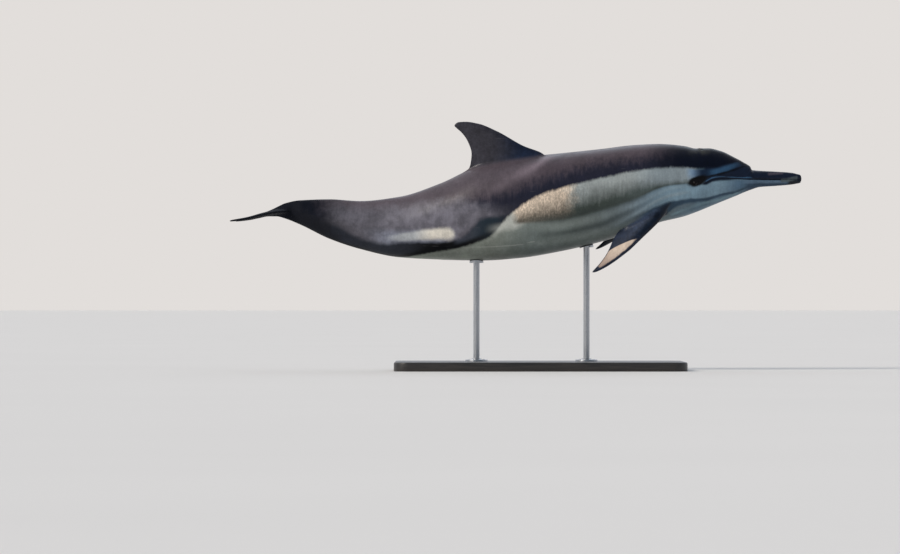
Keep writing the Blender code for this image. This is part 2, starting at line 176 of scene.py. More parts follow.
# Rectangles of the skin's UV map, as (left, bottom, width, height).
ATLAS_BODY = (0.01, 0.40, 0.98, 0.59)
ATLAS_FIN = (0.01, 0.20, 0.30, 0.18)
ATLAS_FLIPPERS = {"left": (0.01, 0.01, 0.30, 0.17), "right": (0.33, 0.01, 0.30, 0.17)}
ATLAS_FLUKES = (0.33, 0.20, 0.60, 0.18)

# ---------------------------------------------------------------- curves and sections


def curve(line, x):
    """A smooth curve through a line's (x, y) points, at every x given. It never overshoots them."""
    xs, ys = np.array(line, float).T
    steps = np.diff(xs)
    slopes = np.diff(ys) / steps
    before, after = 2 * steps[1:] + steps[:-1], steps[1:] + 2 * steps[:-1]
    same_way = slopes[:-1] * slopes[1:] > 0
    safe = np.where(same_way, slopes[:-1], 1.0), np.where(same_way, slopes[1:], 1.0)
    inner = np.where(same_way, (before + after) / (before / safe[0] + after / safe[1]), 0.0)
    tangents = np.concatenate(([slopes[0]], inner, [slopes[-1]]))
    x = np.clip(x, xs[0], xs[-1])
    i = np.clip(np.searchsorted(xs, x, side="right") - 1, 0, len(steps) - 1)
    t = (x - xs[i]) / steps[i]
    rise = (3 - 2 * t) * t * t
    bend = steps[i] * t * (1 - t) * (tangents[i] * (1 - t) - tangents[i + 1] * t)
    return ys[i] * (1 - rise) + ys[i + 1] * rise + bend


def smooth_step(low, high, value):
    """Rises smoothly from 0 at low to 1 at high."""
    t = np.clip((value - low) / (high - low), 0.0, 1.0)
    return t * t * (3 - 2 * t)


def bump(value, width):
    """A bell of height 1 around zero."""
    return np.exp(-((value / width) ** 2))


def power(value, exponent):
    """Keeps the sign of value."""
    return np.sign(value) * np.abs(value) ** exponent


def section(station):
    """Back, belly, waist height, half width and the two powers of the section at a station."""
    back, belly = curve(BACK_LINE, station), curve(BELLY_LINE, station)
    waist = back - (back - belly) * curve(WAIST_SHARE, station)
    half, above, below = (curve(line, station) for line in (HALF_WIDTH, POWER_ABOVE, POWER_BELOW))
    return back, belly, waist, half, above, below


def lean(station):
    """The body's lean at a station, in radians."""
    return BANK * (1 - smooth_step(*BANK_FADES, station))


def middle(station):
    """Height of the section's middle, which the lean turns about."""
    return (curve(BACK_LINE, station) + curve(BELLY_LINE, station)) / 2


def placed(station, out, height):
    """Points of the upright animal, in the row frame, leaning as their sections do."""
    centre, tilt = middle(station), lean(station)
    up = height - centre
    across = out * np.cos(tilt) - up * np.sin(tilt)
    over = centre + out * np.sin(tilt) + up * np.cos(tilt)
    return np.stack((NOSE_X - station, across, AXIS_Z + over), -1)


def upright(points):
    """The opposite of placed: (station, out, height)."""
    station = NOSE_X - points[:, 0]
    centre, tilt = middle(station), lean(station)
    across, up = points[:, 1], points[:, 2] - AXIS_Z - centre
    out = across * np.cos(tilt) + up * np.sin(tilt)
    return station, out, centre - across * np.sin(tilt) + up * np.cos(tilt)


def body_surface(station, angle):
    """Points of the bare body. The angle is 0 on the back and a quarter turn on the left."""
    back, belly, waist, half, above, below = section(station)
    sine, cosine = np.sin(angle), np.cos(angle)
    exponent = 2 / np.where(cosine > 0, above, below)
    reach = np.where(cosine > 0, back - waist, waist - belly)
    out = half * power(sine, exponent)
    height = waist + reach * power(cosine, exponent)
    near_tip = np.clip(station / TIP_ROUND, 0, 1)
    dome = np.sqrt(1 - (1 - near_tip) ** 2)
    centre = (back + belly) / 2
    return placed(station, out * dome, centre + (height - centre) * dome)


def around(station, out, height):
    """(degrees from the back, share of the way out to the skin) of points of the upright animal."""
    back, belly, waist, half, above, below = section(station)
    over = height > waist
    exponent = np.where(over, above, below)
    reach = np.where(over, back - waist, waist - belly)
    across, along = np.abs(out) / half, np.abs(height - waist) / reach
    radius = (across**exponent + along**exponent) ** (1 / exponent)
    angle = np.arctan2(across ** (exponent / 2), np.where(over, 1, -1) * along ** (exponent / 2))
    return np.degrees(angle), radius


def clear_of_body(points):
    """How far points lie outside the bare body, in metres."""
    station, out, height = upright(points)
    waist = section(station)[2]
    radius = around(station, out, height)[1]
    return (radius - 1) / np.maximum(radius, 0.2) * np.hypot(out, height - waist)


def half_girth(station):
    """Length over the skin from the back's ridge to the belly's, at each station."""
    places = np.linspace(0.0, BODY_END, 90)
    angles = np.linspace(0.0, math.pi, 120)
    lengths = []
    for place in places:
        ring = body_surface(np.full(len(angles), place), angles)
        lengths.append(np.linalg.norm(np.diff(ring, axis=0), axis=1).sum())
    return np.interp(station, places, lengths)


def angle_at_height(station, height):
    """Degrees from the back at which the section's edge has this height."""
    back, belly, waist, _, above, below = section(station)
    over = height > waist
    reach = np.where(over, back - waist, waist - belly)
    share = np.clip(np.abs(height - waist) / reach, 0, 1) ** (np.where(over, above, below) / 2)
    return np.degrees(np.arccos(np.where(over, share, -share)))


# ---------------------------------------------------------------- meshes


def unit_grid(columns, rows, zones=()):
    """A flat grid over 0 to 1 each way with its UV map, finer by one cut in each zone of the plane."""
    bm = bmesh.new()
    bm.loops.layers.uv.new(ATLAS)
    bmesh.ops.create_grid(bm, x_segments=columns, y_segments=rows, size=0.5, calc_uvs=True)
    bmesh.ops.translate(bm, verts=bm.verts, vec=(0.5, 0.5, 0.0))
    for left, right, low, high in zones:
        inside = [
            edge
            for edge in bm.edges
            if all(left <= v.co.x <= right and low <= v.co.y <= high for v in edge.verts)
        ]
        bmesh.ops.subdivide_edges(bm, edges=inside, cuts=1, use_grid_fill=True)
    return bm


def mesh_points(mesh):
    """The mesh's points, one row each."""
    flat = np.empty(len(mesh.vertices) * 3)
    mesh.vertices.foreach_get("co", flat)
    return flat.reshape(-1, 3)


def move_points(mesh, points):
    """Puts the mesh's points in new places."""
    mesh.vertices.foreach_set("co", np.ascontiguousarray(points, dtype=np.float32).ravel())
    mesh.update()


def wrapped(name, bm, place, rectangle, cap_ends=False):
    """The object of a unit grid wrapped onto a surface: place(u, v) gives its points."""
    mesh = bpy.data.meshes.new(name)
    bm.to_mesh(mesh)
    bm.free()
    flat = mesh_points(mesh)
    move_points(mesh, place(flat[:, 0], flat[:, 1]))
    layer = mesh.uv_layers[ATLAS].uv
    uv = np.empty(len(layer) * 2, dtype=np.float32)
    layer.foreach_get("vector", uv)
    uv = uv.reshape(-1, 2) * rectangle[2:] + rectangle[:2]
    layer.foreach_set("vector", np.ascontiguousarray(uv, dtype=np.float32).ravel())
    bm = bmesh.new()
    bm.from_mesh(mesh)
    bmesh.ops.remove_doubles(bm, verts=bm.verts, dist=1e-5)
    if cap_ends:
        bmesh.ops.holes_fill(bm, edges=[e for e in bm.edges if e.is_boundary], sides=0)
    bmesh.ops.recalc_face_normals(bm, faces=bm.faces)
    bm.to_mesh(mesh)
    bm.free()
    made = bpy.data.objects.new(name, mesh)
    bpy.context.scene.collection.objects.link(made)
    return made


def outward_normals(place, u, v, step=1e-4):
    """Unit normals of a wrapped surface, from its slopes."""
    along_u = place(u + step, v) - place(u - step, v)
    along_v = place(u, v + step) - place(u, v - step)
    normal = np.cross(along_u, along_v)
    return normal / np.maximum(np.linalg.norm(normal, axis=1, keepdims=True), 1e-12)


def apply_modifiers(made):
    """Turns an object's evaluated mesh into its own, with no modifier left."""
    graph = bpy.context.evaluated_depsgraph_get()
    final = made.evaluated_get(graph)
    mesh = bpy.data.meshes.new_from_object(final, preserve_all_data_layers=True, depsgraph=graph)
    old = made.data
    made.modifiers.clear()
    made.data = mesh
    mesh.name = made.name
    bpy.data.meshes.remove(old)


# ---------------------------------------------------------------- the body's form


def station_of(u):
    """Distance behind the beak's tip at a share of the mesh's columns."""
    return curve(STATION_SPREAD, u)


def angle_of(v):
    """The seam is at v = 0 on the belly, the back at a half."""
    return 2 * math.pi * (v + SIDE_FOCUS * np.sin(4 * math.pi * v) / (4 * math.pi)) - math.pi


def bare_body(u, v):
    """The body's surface at shares of the mesh's columns and rows."""
    return body_surface(station_of(np.clip(u, 0, 1)), angle_of(v))


def relief(station, degrees):
    """Height of the body's fine forms over the bare surface: lips, blowhole, ears, navel and slits."""
    per_degree = half_girth(station) / 180
    # The mouth: a groove between two full lips, which ends in a small dimple at the gape.
    from_lips = (degrees - angle_at_height(station, curve(MOUTH_LINE, station))) * per_degree
    from_mouth = np.hypot(from_lips, np.maximum(station - MOUTH_END, 0))
    deep = 0.0026 - 0.0010 * smooth_step(0.15, 0.36, station)
    wide = 0.0012 + 0.0009 * smooth_step(0.10, 0.30, station)
    form = 0.0009 * bump(from_mouth - 0.0055, 0.0030) * (1 - smooth_step(0.30, 0.38, station))
    form -= deep * bump(from_mouth, wide) * smooth_step(0.002, 0.010, station)
    form -= 0.0012 * bump(np.hypot(station - MOUTH_END, from_lips), 0.006)
    # The crease that sets the melon off from the beak, deepest on top.
    crease = 0.198 + 0.0006 * np.maximum(degrees - 20, 0)
    form -= 0.0022 * bump(station - crease, 0.0045) * (1 - smooth_step(38, 66, degrees))
    # The blowhole: a crescent with its horns forward, between two soft lips.
    behind = station - BLOWHOLE_STATION
    from_rim = np.hypot(behind, degrees * per_degree / 1.35) - BLOWHOLE_RADIUS
    horn = smooth_step(-0.004, 0.003, behind)
    form += (0.0016 * bump(from_rim, 0.0060) - 0.0062 * bump(from_rim, 0.0016)) * horn
    # The ear's pinhole.
    ear_station, ear_degrees = EAR
    ear = np.hypot(station - ear_station, (degrees - ear_degrees) * per_degree)
    form += 0.0004 * bump(ear, 0.0060) - 0.0014 * bump(ear, 0.0020)
    # On the belly's midline: the navel, the long slit and the vent.
    midline = (180 - degrees) * per_degree
    first, last = SLIT
    slit = smooth_step(first + 0.005, first + 0.020, station)
    slit *= smooth_step(last - 0.005, last - 0.025, station)
    form -= 0.0016 * bump(midline, 0.0030) * bump(station - NAVEL_STATION, 0.012)
    form += (0.0012 * bump(midline - 0.008, 0.0045) - 0.0030 * bump(midline, 0.0026)) * slit
    form -= 0.0026 * bump(midline, 0.0026) * bump(station - VENT_STATION, 0.012)
    # Soft muscle: a hollow under the tail's upper ridge and a swelling along the flank's line.
    tail = smooth_step(1.38, 1.62, station) * (1 - smooth_step(1.90, 2.02, station))
    for ridge, spread, rise in ((52, 16, -0.0035), (92, 20, 0.0025), (128, 15, -0.0030)):
        form += rise * bump(degrees - ridge, spread) * tail
    return form


def lids(points, ball, radius):
    """Wraps the skin round an eyeball: it sinks behind the ball in the opening and folds over its rim."""
    offset = points - ball
    distance = np.linalg.norm(offset, axis=1)
    if distance.min() > radius * LID_REACH:
        return points
    direction = offset / np.maximum(distance[:, None], 1e-9)
    side = np.sign(ball[1])
    outward = np.array((0.0, side * math.cos(BANK), side * math.sin(BANK)))
    forward = np.array((1.0, 0.0, 0.0))
    upward = np.cross(outward, forward) * -side
    along = offset @ forward
    over = offset @ upward + EYE_SLANT * along
    opening = np.hypot(along / EYE_OPENING[0], over / EYE_OPENING[1])
    rim = radius + 0.0011 * bump(opening - 1.15, 0.45)
    folded = np.maximum(distance, rim) + 0.0006 * bump(distance - rim, 0.002)
    level = distance + (folded - distance) * (1 - smooth_step(1.5, 2.6, opening))
    # A fold above the upper lid and a fainter one below the lower lid.
    level -= np.where(over > 0, 0.0009 * bump(opening - 2.0, 0.16), 0.0006 * bump(opening - 1.95, 0.18))
    inside = 1 - smooth_step(0.86, 1.02, opening)
    level += (np.minimum(radius - LID_SINK, level) - level) * inside
    wrapped_here = (distance < radius * LID_REACH) & (direction @ outward > 0.05)
    return np.where(wrapped_here[:, None], ball + direction * level[:, None], points)


def make_body(columns, rows, eyes):
    """The body from beak to tail as one closed wrap, finer at the eyes, mouth, blowhole and slits."""
    u_table = np.linspace(0, 1, 4001)
    stations, angles = station_of(u_table), np.degrees(angle_of(u_table))

    def zone(first, last, low, high):
        left, right = np.interp((first, last), stations, u_table)
        return (left, right, *np.interp((low, high), angles, u_table))

    zones = []
    for sign in (-1, 1):
        for first, last, low, high in FINE_SIDE:
            zones.append(zone(first, last, *sorted((sign * low, sign * high))))
    zones += [zone(first, last, -spread, spread) for first, last, spread in FINE_CROWN]
    for first, last in FINE_BELLY:
        zones += [zone(first, last, -180, -174), zone(first, last, 174, 180)]

    def shaped(u, v):
        bare = bare_body(u, v)
        normal = outward_normals(bare_body, np.clip(u, 2e-4, 1 - 2e-4), v)
        centre = placed(station_of(u), 0 * u, middle(station_of(u)))
        normal *= np.sign(np.sum(normal * (bare - centre), axis=1, keepdims=True))
        points = bare + normal * relief(station_of(u), np.degrees(np.abs(angle_of(v))))[:, None]
        for ball, radius in eyes:
            points = lids(points, ball, radius)
        return points

    return wrapped("skin_body", unit_grid(columns, rows, zones), shaped, ATLAS_BODY, cap_ends=True)


# ---------------------------------------------------------------- fins


def wing_half(share):
    """Half thickness of a wing section of thickness 1, at a share of its chord from the front."""
    root = 0.2969 * np.sqrt(share)
    return 5 * (root + share * (-0.1260 + share * (-0.3516 + share * (0.2843 - 0.1015 * share))))


def edge_points(edge, span):
    """Points of an edge line at shares of its span, its own points evenly spaced."""
    place = span * (len(edge) - 1)
    return [curve([(i, point[k]) for i, point in enumerate(edge)], place) for k in (0, 1)]


def blade(front, rear, thickness, to_frame):
    """place(u, v) of a blade: u runs from root to tip, v round the section from its rear edge."""

    def place(u, v):
        span = np.clip(u, 0, 1)
        share = (1 + np.cos(2 * math.pi * v)) / 2
        over = np.where(np.sin(2 * math.pi * v) >= 0, 1.0, -1.0)
        tip = np.sqrt(np.clip(1 - (np.clip(span - 0.95, 0, 1) / 0.05) ** 2, 0, 1))
        a, b = edge_points(front, span), edge_points(rear, span)
        half = np.maximum(wing_half(share) * curve(thickness, span), TRAILING_EDGE / 2 * share)
        half *= np.sqrt(np.clip((1 - share) / 0.004, 0, 1)) * tip
        mid = [(a[k] + b[k]) / 2 for k in (0, 1)]
        spot = [mid[k] + (a[k] + (b[k] - a[k]) * share - mid[k]) * tip for k in (0, 1)]
        return to_frame(spot[0], spot[1], over * half)

    return place


def flared(place, reach, last_station=9.0):
    """The same blade with its foot spread out, so that it runs into the body in a hollow curve."""

    def spread(u, v):
        points = place(u, v)
        normal = outward_normals(place, np.clip(u, 2e-4, 1 - 2e-4), v)
        heart = (place(u, 0 * v + 0.2) + place(u, 0 * v + 0.8)) / 2
        normal *= np.where(np.sum(normal * (points - heart), axis=1, keepdims=True) < 0, -1, 1)
        rise = np.clip(clear_of_body(points), 0, reach) / reach
        flare = reach * 0.62 * (1 - np.sqrt(np.clip(1 - (1 - rise) ** 2, 0, 1)))
        share = (1 + np.cos(2 * math.pi * v)) / 2
        flare *= smooth_step(0.0, 0.10, share) * smooth_step(1.0, 0.75, share)
        flare *= 1 - smooth_step(last_station - 0.08, last_station, NOSE_X - points[:, 0])
        return points + normal * flare[:, None]

    return spread


def fin_frame(station, height, up):
    """The dorsal fin stands in the leaning midplane."""
    return placed(station, up, height)


def flipper_axes(side):
    """The flipper's root, and the directions out along it, forward and up from its face."""
    droop, sweep, twist = (math.radians(angle) for angle in FLIPPER_POSE[side])
    sign = 1 if side == "left" else -1
    station, height, half = (np.array([value]) for value in FLIPPER_ROOT)
    root = placed(station, sign * half, height)[0]
    out_way = Vector((-math.sin(sweep), sign * math.cos(sweep), 0.0))
    front_way = Vector((math.cos(sweep), sign * math.sin(sweep), 0.0))
    turn = Matrix.Rotation(BANK, 3, "X") @ Matrix.Rotation(-sign * droop, 3, "X")
    out_way, front_way = turn @ out_way, turn @ front_way
    front_way = Matrix.Rotation(-twist * sign, 3, out_way) @ front_way
    up_way = out_way.cross(front_way) * -sign
    return root, np.array(out_way), np.array(front_way), np.array(up_way)


def flipper_frame(side):
    """Places a flipper's (out, forward, up) in the row frame."""
    root, out_way, front_way, up_way = flipper_axes(side)
    return lambda out, forward, up: (
        root + out[:, None] * out_way + forward[:, None] * front_way + up[:, None] * up_way
    )


def make_dorsal_fin():
    """The dorsal fin, flared where it meets the back."""
    place = flared(blade(FIN_FRONT, FIN_REAR, FIN_THICKNESS, fin_frame), 0.030)
    return wrapped("skin_dorsal_fin", unit_grid(52, 72), place, ATLAS_FIN, cap_ends=True)


def make_flipper(side):
    """One flipper, flared at its root."""
    place = blade(FLIPPER_FRONT, FLIPPER_REAR, FLIPPER_THICKNESS, flipper_frame(side))
    name = "skin_flipper_" + side
    return wrapped(name, unit_grid(64, 56), flared(place, 0.022), ATLAS_FLIPPERS[side], cap_ends=True)


def make_flukes():
    """Both flukes as one blade from tip to tip."""

    def to_frame(station, out, up):
        return np.stack((NOSE_X - station, out, AXIS_Z + curve(FLUKE_LEVEL, station) + up), -1)

    half = blade(FLUKE_FRONT, FLUKE_REAR, FLUKE_THICKNESS, to_frame)

    def place(u, v):
        points = half(np.abs(2 * np.clip(u, 0, 1) - 1), v)
        points[:, 1] *= np.where(u < 0.5, -1, 1)
        points[:, 2] += FLUKE_ROLL * points[:, 1]
        return points

    return wrapped("skin_flukes", unit_grid(112, 64), flared(place, 0.012, 2.16), ATLAS_FLUKES)


# ---------------------------------------------------------------- joining the skin


def join_skin(body, fins):
    """One closed skin: the fins are united with the body."""
    marks = [bpy.data.materials.new(f"part_{index}") for index in range(len(fins) + 1)]
    for index, part in enumerate([body, *fins]):
        for mark in marks:
            part.data.materials.append(mark)
        part.data.polygons.foreach_set("material_index", [index] * len(part.data.polygons))
    for fin in fins:
        union = body.modifiers.new("union_" + fin.name, "BOOLEAN")
        union.operation = "UNION"
        union.solver = "EXACT"
        union.object = fin
        union.material_mode = "INDEX"
    apply_modifiers(body)
    for fin in fins:
        bpy.data.objects.remove(fin)
    return body


def part_of_points(mesh):
    """(lowest, highest) part number of the faces round each point: they differ on a seam."""
    index = np.empty(len(mesh.polygons), dtype=np.int32)
    mesh.polygons.foreach_get("material_index", index)
    loops = np.empty(len(mesh.loops), dtype=np.int32)
    mesh.loops.foreach_get("vertex_index", loops)
    totals = np.empty(len(mesh.polygons), dtype=np.int32)
    mesh.polygons.foreach_get("loop_total", totals)
    owner = np.repeat(index, totals)
    low = np.full(len(mesh.vertices), 99)
    high = np.full(len(mesh.vertices), -1)
    np.minimum.at(low, loops, owner)
    np.maximum.at(high, loops, owner)
    return low, high


def distance_to(points, targets):
    """Distance of each point to the nearest target."""
    tree = KDTree(len(targets))
    for i, target in enumerate(targets):
        tree.insert(target, i)
    tree.balance()
    return np.array([tree.find(point)[2] for point in points])


def smooth_seams(skin, reach=0.020, rounds=14):
    """Smooths the skin within reach of the seams that the union left."""
    mesh = skin.data
    low, high = part_of_points(mesh)
    points = mesh_points(mesh)
    seam = points[low != high]
    clear = distance_to(points, seam)
    weight = 1 - smooth_step(reach * 0.35, reach, clear)
    group = skin.vertex_groups.new(name="seams")
    for i in np.nonzero(weight > 0.01)[0]:
        group.add([int(i)], float(weight[i]), "REPLACE")
    soft = skin.modifiers.new("soft_seams", "SMOOTH")
    soft.factor = 0.5
    soft.iterations = rounds
    soft.vertex_group = "seams"
    apply_modifiers(skin)
    skin.vertex_groups.clear()


# ---------------------------------------------------------------- node building


class Value:
    """A number or colour that varies over a surface, as a node gives it, with plain arithmetic."""

    def __init__(self, paint, socket):
        self.paint = paint
        self.socket = socket

    def __add__(self, other):
        return self.paint.math("ADD", self, other)

    def __sub__(self, other):
        return self.paint.math("SUBTRACT", self, other)

    def __rsub__(self, other):
        return self.paint.math("SUBTRACT", other, self)

    def __mul__(self, other):
        return self.paint.math("MULTIPLY", self, other)

    def __truediv__(self, other):
        return self.paint.math("DIVIDE", self, other)


class Paint:
    """Builds one material. An input is a number, a colour, a Value or the name of a field on the mesh."""

    def __init__(self, name):
        old = bpy.data.materials.get(name)
        if old is not None:
            bpy.data.materials.remove(old)
        self.material = bpy.data.materials.new(name)
        self.material.use_nodes = True
        self.tree = self.material.node_tree
        self.place = Value(self, self.tree.nodes.new("ShaderNodeTexCoord").outputs["Object"])
        self.colour = None

    def feed(self, node, inputs):
        """Sets a node's inputs by their number, or by their name with _ for a space."""
        for key, value in inputs.items():
            socket = node.inputs[key.replace("_", " ") if isinstance(key, str) else key]
            if isinstance(value, str):
                value = self.attribute(value)
            if isinstance(value, Value):
                self.tree.links.new(value.socket, socket)
            elif socket.type == "RGBA":
                socket.default_value = (*value, 1.0)
            else:
                socket.default_value = value

    def node(self, kind, inputs, output=0, **settings):
        """Adds a node and gives one of its outputs."""
        made = self.tree.nodes.new("ShaderNode" + kind)
        for key, value in settings.items():
            setattr(made, key, value)
        self.feed(made, inputs)
        return Value(self, made.outputs[output])

    def math(self, operation, a, b=0.0):
        return self.node("Math", {0: a, 1: b}, operation=operation)

    def vectors(self, operation, a, b=(0.0, 0.0, 0.0), output=0):
        return self.node("VectorMath", {0: a, 1: b}, output, operation=operation)

    def attribute(self, name):
        return self.node("Attribute", {}, "Fac", attribute_name=name)

    def stretched(self, scale):
        """Object coordinates scaled by (x, y, z)."""
        return self.node("Mapping", {"Vector": self.place, "Scale": scale})

    def noise(self, scale, detail=3.0, rough=0.5, where=None, distort=0.0):
        inputs = {"Scale": scale, "Detail": detail, "Roughness": rough, "Distortion": distort}
        return self.node("TexNoise", {"Vector": where or self.place, **inputs}, "Fac")

    def ramp(self, value, low, high, out_low=0.0, out_high=1.0, smooth=True):
        """out_low where value is low, out_high where it is high. Low may be the larger of the two."""
        kind = "SMOOTHSTEP" if smooth else "LINEAR"
        ends = {"From Min": low, "From Max": high, "To Min": out_low, "To Max": out_high}
        return self.node("MapRange", {"Value": value, **ends}, interpolation_type=kind)

    def mix(self, below, above, share):
        return self.node("Mix", {0: share, 6: below, 7: above}, 2, data_type="RGBA")

    def scaled(self, colour, value):
        """The colour made lighter or darker by a factor."""
        return self.node("HueSaturation", {"Color": colour, "Value": value})

    def bumps(self, height, distance, strength, under=None):
        over = {"Normal": under} if under else {}
        return self.node("Bump", {"Height": height, "Distance": distance, "Strength": strength, **over})

    def lay(self, colour, share=1.0):
        """Lays a colour over what is painted so far."""
        self.colour = self.mix(self.colour, colour, share) if self.colour else colour

    def surface(self, **inputs):
        """Sets the shader's own inputs and gives the finished material."""
        self.feed(self.tree.nodes["Principled BSDF"], inputs)
        return self.material


def tone(red, green, blue):
    """A colour as it shows on a screen (0 to 255), turned into the linear values of the shader."""
    shares = (value / 255 for value in (red, green, blue))
    return tuple(s / 12.92 if s <= 0.04045 else ((s + 0.055) / 1.055) ** 2.4 for s in shares)


# ---------------------------------------------------------------- markings

# Lines over the skin, the same on both sides: (behind the beak's tip, degrees down from the back).
CAPE_EDGE = (
    (0.196, 6), (0.227, 20), (0.268, 35), (0.310, 48), (0.350, 57), (0.480, 56), (0.570, 57),
    (0.680, 57), (0.760, 58), (0.850, 60), (0.970, 65), (1.069, 72), (1.115, 79), (1.160, 87),
    (1.189, 93), (1.225, 104), (1.250, 111), (1.287, 117), (1.330, 123), (1.380, 129), (1.446, 136),
    (1.487, 142), (1.540, 152), (1.590, 166), (1.640, 179),
)
# Where the cape's paler top, partly painted warm light, gives way to its slate lower half, partly painted
# shade.
CAPE_SHADE = (
    (0.450, 16), (0.530, 30), (0.650, 38), (0.810, 36), (0.970, 45), (1.090, 55), (1.210, 60),
    (1.330, 62),
)
# A painted highlight: the wet sheen on the cape in front of and below the fin.
CAPE_SHEEN = ((0.985, 6), (1.040, 19), (1.069, 30), (1.129, 38), (1.187, 46), (1.250, 55))
REAR_PATCH_TOP = (
    (1.16, 84), (1.21, 83), (1.25, 77), (1.30, 72), (1.35, 61), (1.41, 56), (1.49, 48), (1.60, 41),
    (1.90, 32),
)
REAR_PATCH_LOW = (
    (1.140, 80), (1.165, 88), (1.278, 89), (1.314, 98), (1.359, 111), (1.400, 115), (1.461, 118),
    (1.525, 119), (1.585, 121), (1.626, 126), (1.680, 132), (1.740, 132), (1.800, 125), (1.860, 112),
)
# The cream streak: partly pale skin, partly a painted highlight.
CREAM_STREAK = ((1.374, 107), (1.446, 105), (1.506, 106), (1.570, 110), (1.680, 119))
# Four soft lines from the eye back along the flank, dark and light in turn.
FLANK_LINES = {
    "upper_dark": (
        (0.455, 79), (0.530, 81), (0.590, 85), (0.650, 90), (0.730, 93), (0.810, 95), (0.890, 97),
        (0.970, 98), (1.100, 97),
    ),
    "upper_light": (
        (0.455, 83), (0.530, 86), (0.590, 92), (0.650, 97), (0.710, 101), (0.760, 103), (0.810, 105),
        (0.970, 106), (1.120, 101),
    ),
    "lower_dark": (
        (0.455, 85), (0.530, 89), (0.590, 95), (0.650, 103), (0.730, 109), (0.810, 115), (0.970, 116),
        (1.100, 112),
    ),
    "lower_light": (
        (0.450, 91), (0.530, 95), (0.590, 101), (0.650, 110), (0.730, 119), (0.810, 126), (0.970, 128),
        (1.120, 125),
    ),
}
STRIPE_TOP = (
    (0.140, 96), (0.200, 98), (0.223, 109), (0.268, 117), (0.312, 113), (0.372, 112), (0.417, 106),
    (0.451, 103), (0.511, 104), (0.571, 108), (0.640, 116),
)
STRIPE_LOW = (
    (0.140, 150), (0.200, 112), (0.223, 121), (0.268, 128), (0.312, 121), (0.372, 121), (0.417, 115),
    (0.471, 113), (0.509, 118), (0.536, 128), (0.560, 140), (0.640, 142),
)
# Thin lines, whose field is the distance over the skin to them.
THIN_LINES = {
    "bridle": ((0.212, 14), (0.238, 36), (0.266, 52), (0.298, 62), (0.326, 67), (0.360, 70), (0.395, 72)),
    "brow": ((0.252, 30), (0.283, 48), (0.314, 58), (0.343, 63), (0.374, 65), (0.432, 62)),
    "lip_light": ((0.190, 70), (0.225, 73), (0.298, 74), (0.340, 73), (0.362, 74), (0.388, 78)),
    "beak_spot": ((0.022, 68), (0.036, 79), (0.050, 86), (0.064, 91), (0.078, 91)),
    # The line along the top of the beak carries a painted reflection.
    "beak_top": ((0.080, 26), (0.130, 38)),
    "throat_light": ((0.264, 133), (0.320, 136), (0.386, 126), (0.430, 124), (0.473, 128), (0.517, 136)),
    "side_streak": ((1.152, 101), (1.212, 101), (1.290, 102)),
    "crease": ((1.069, 123), (1.160, 126), (1.249, 126), (1.338, 127), (1.378, 124)),
}
# Where the flipper's tan patch starts: (forward, out).
PATCH_START = ((-0.046, 0.275), (-0.024, 0.248), (0.000, 0.192), (0.034, 0.126), (0.050, 0.106))
FLIPPER_MARGIN = (0.009, 0.003, 0.304)  # dark rim in front, behind, and the patch's outer end; the front rim is partly painted shade
# Distance behind the beak's tip, degrees, half length and half height.
EYE_PATCH = (0.422, 75.8, 0.038, 0.0160)
EYE_PATCH_TILT = 85.0  # degrees further down for every metre back


def line_distance(line, station, degrees, per_degree):
    """Distance over the skin to a marking's line, past its ends too."""
    first, last = line[0][0], line[-1][0]
    past = np.maximum(first - station, 0) + np.maximum(station - last, 0)
    return np.hypot((degrees - curve(line, station)) * per_degree, past)


def soft_line(line, station, degrees, width):
    """A soft streak along a line, 1 on it, that thins out at its ends. The width is in degrees."""
    first, last = line[0][0], line[-1][0]
    start = smooth_step(first - 0.02, first + 0.05, station)
    end = smooth_step(last + 0.04, last - 0.10, station)
    return bump(degrees - curve(line, station), width) * start * end


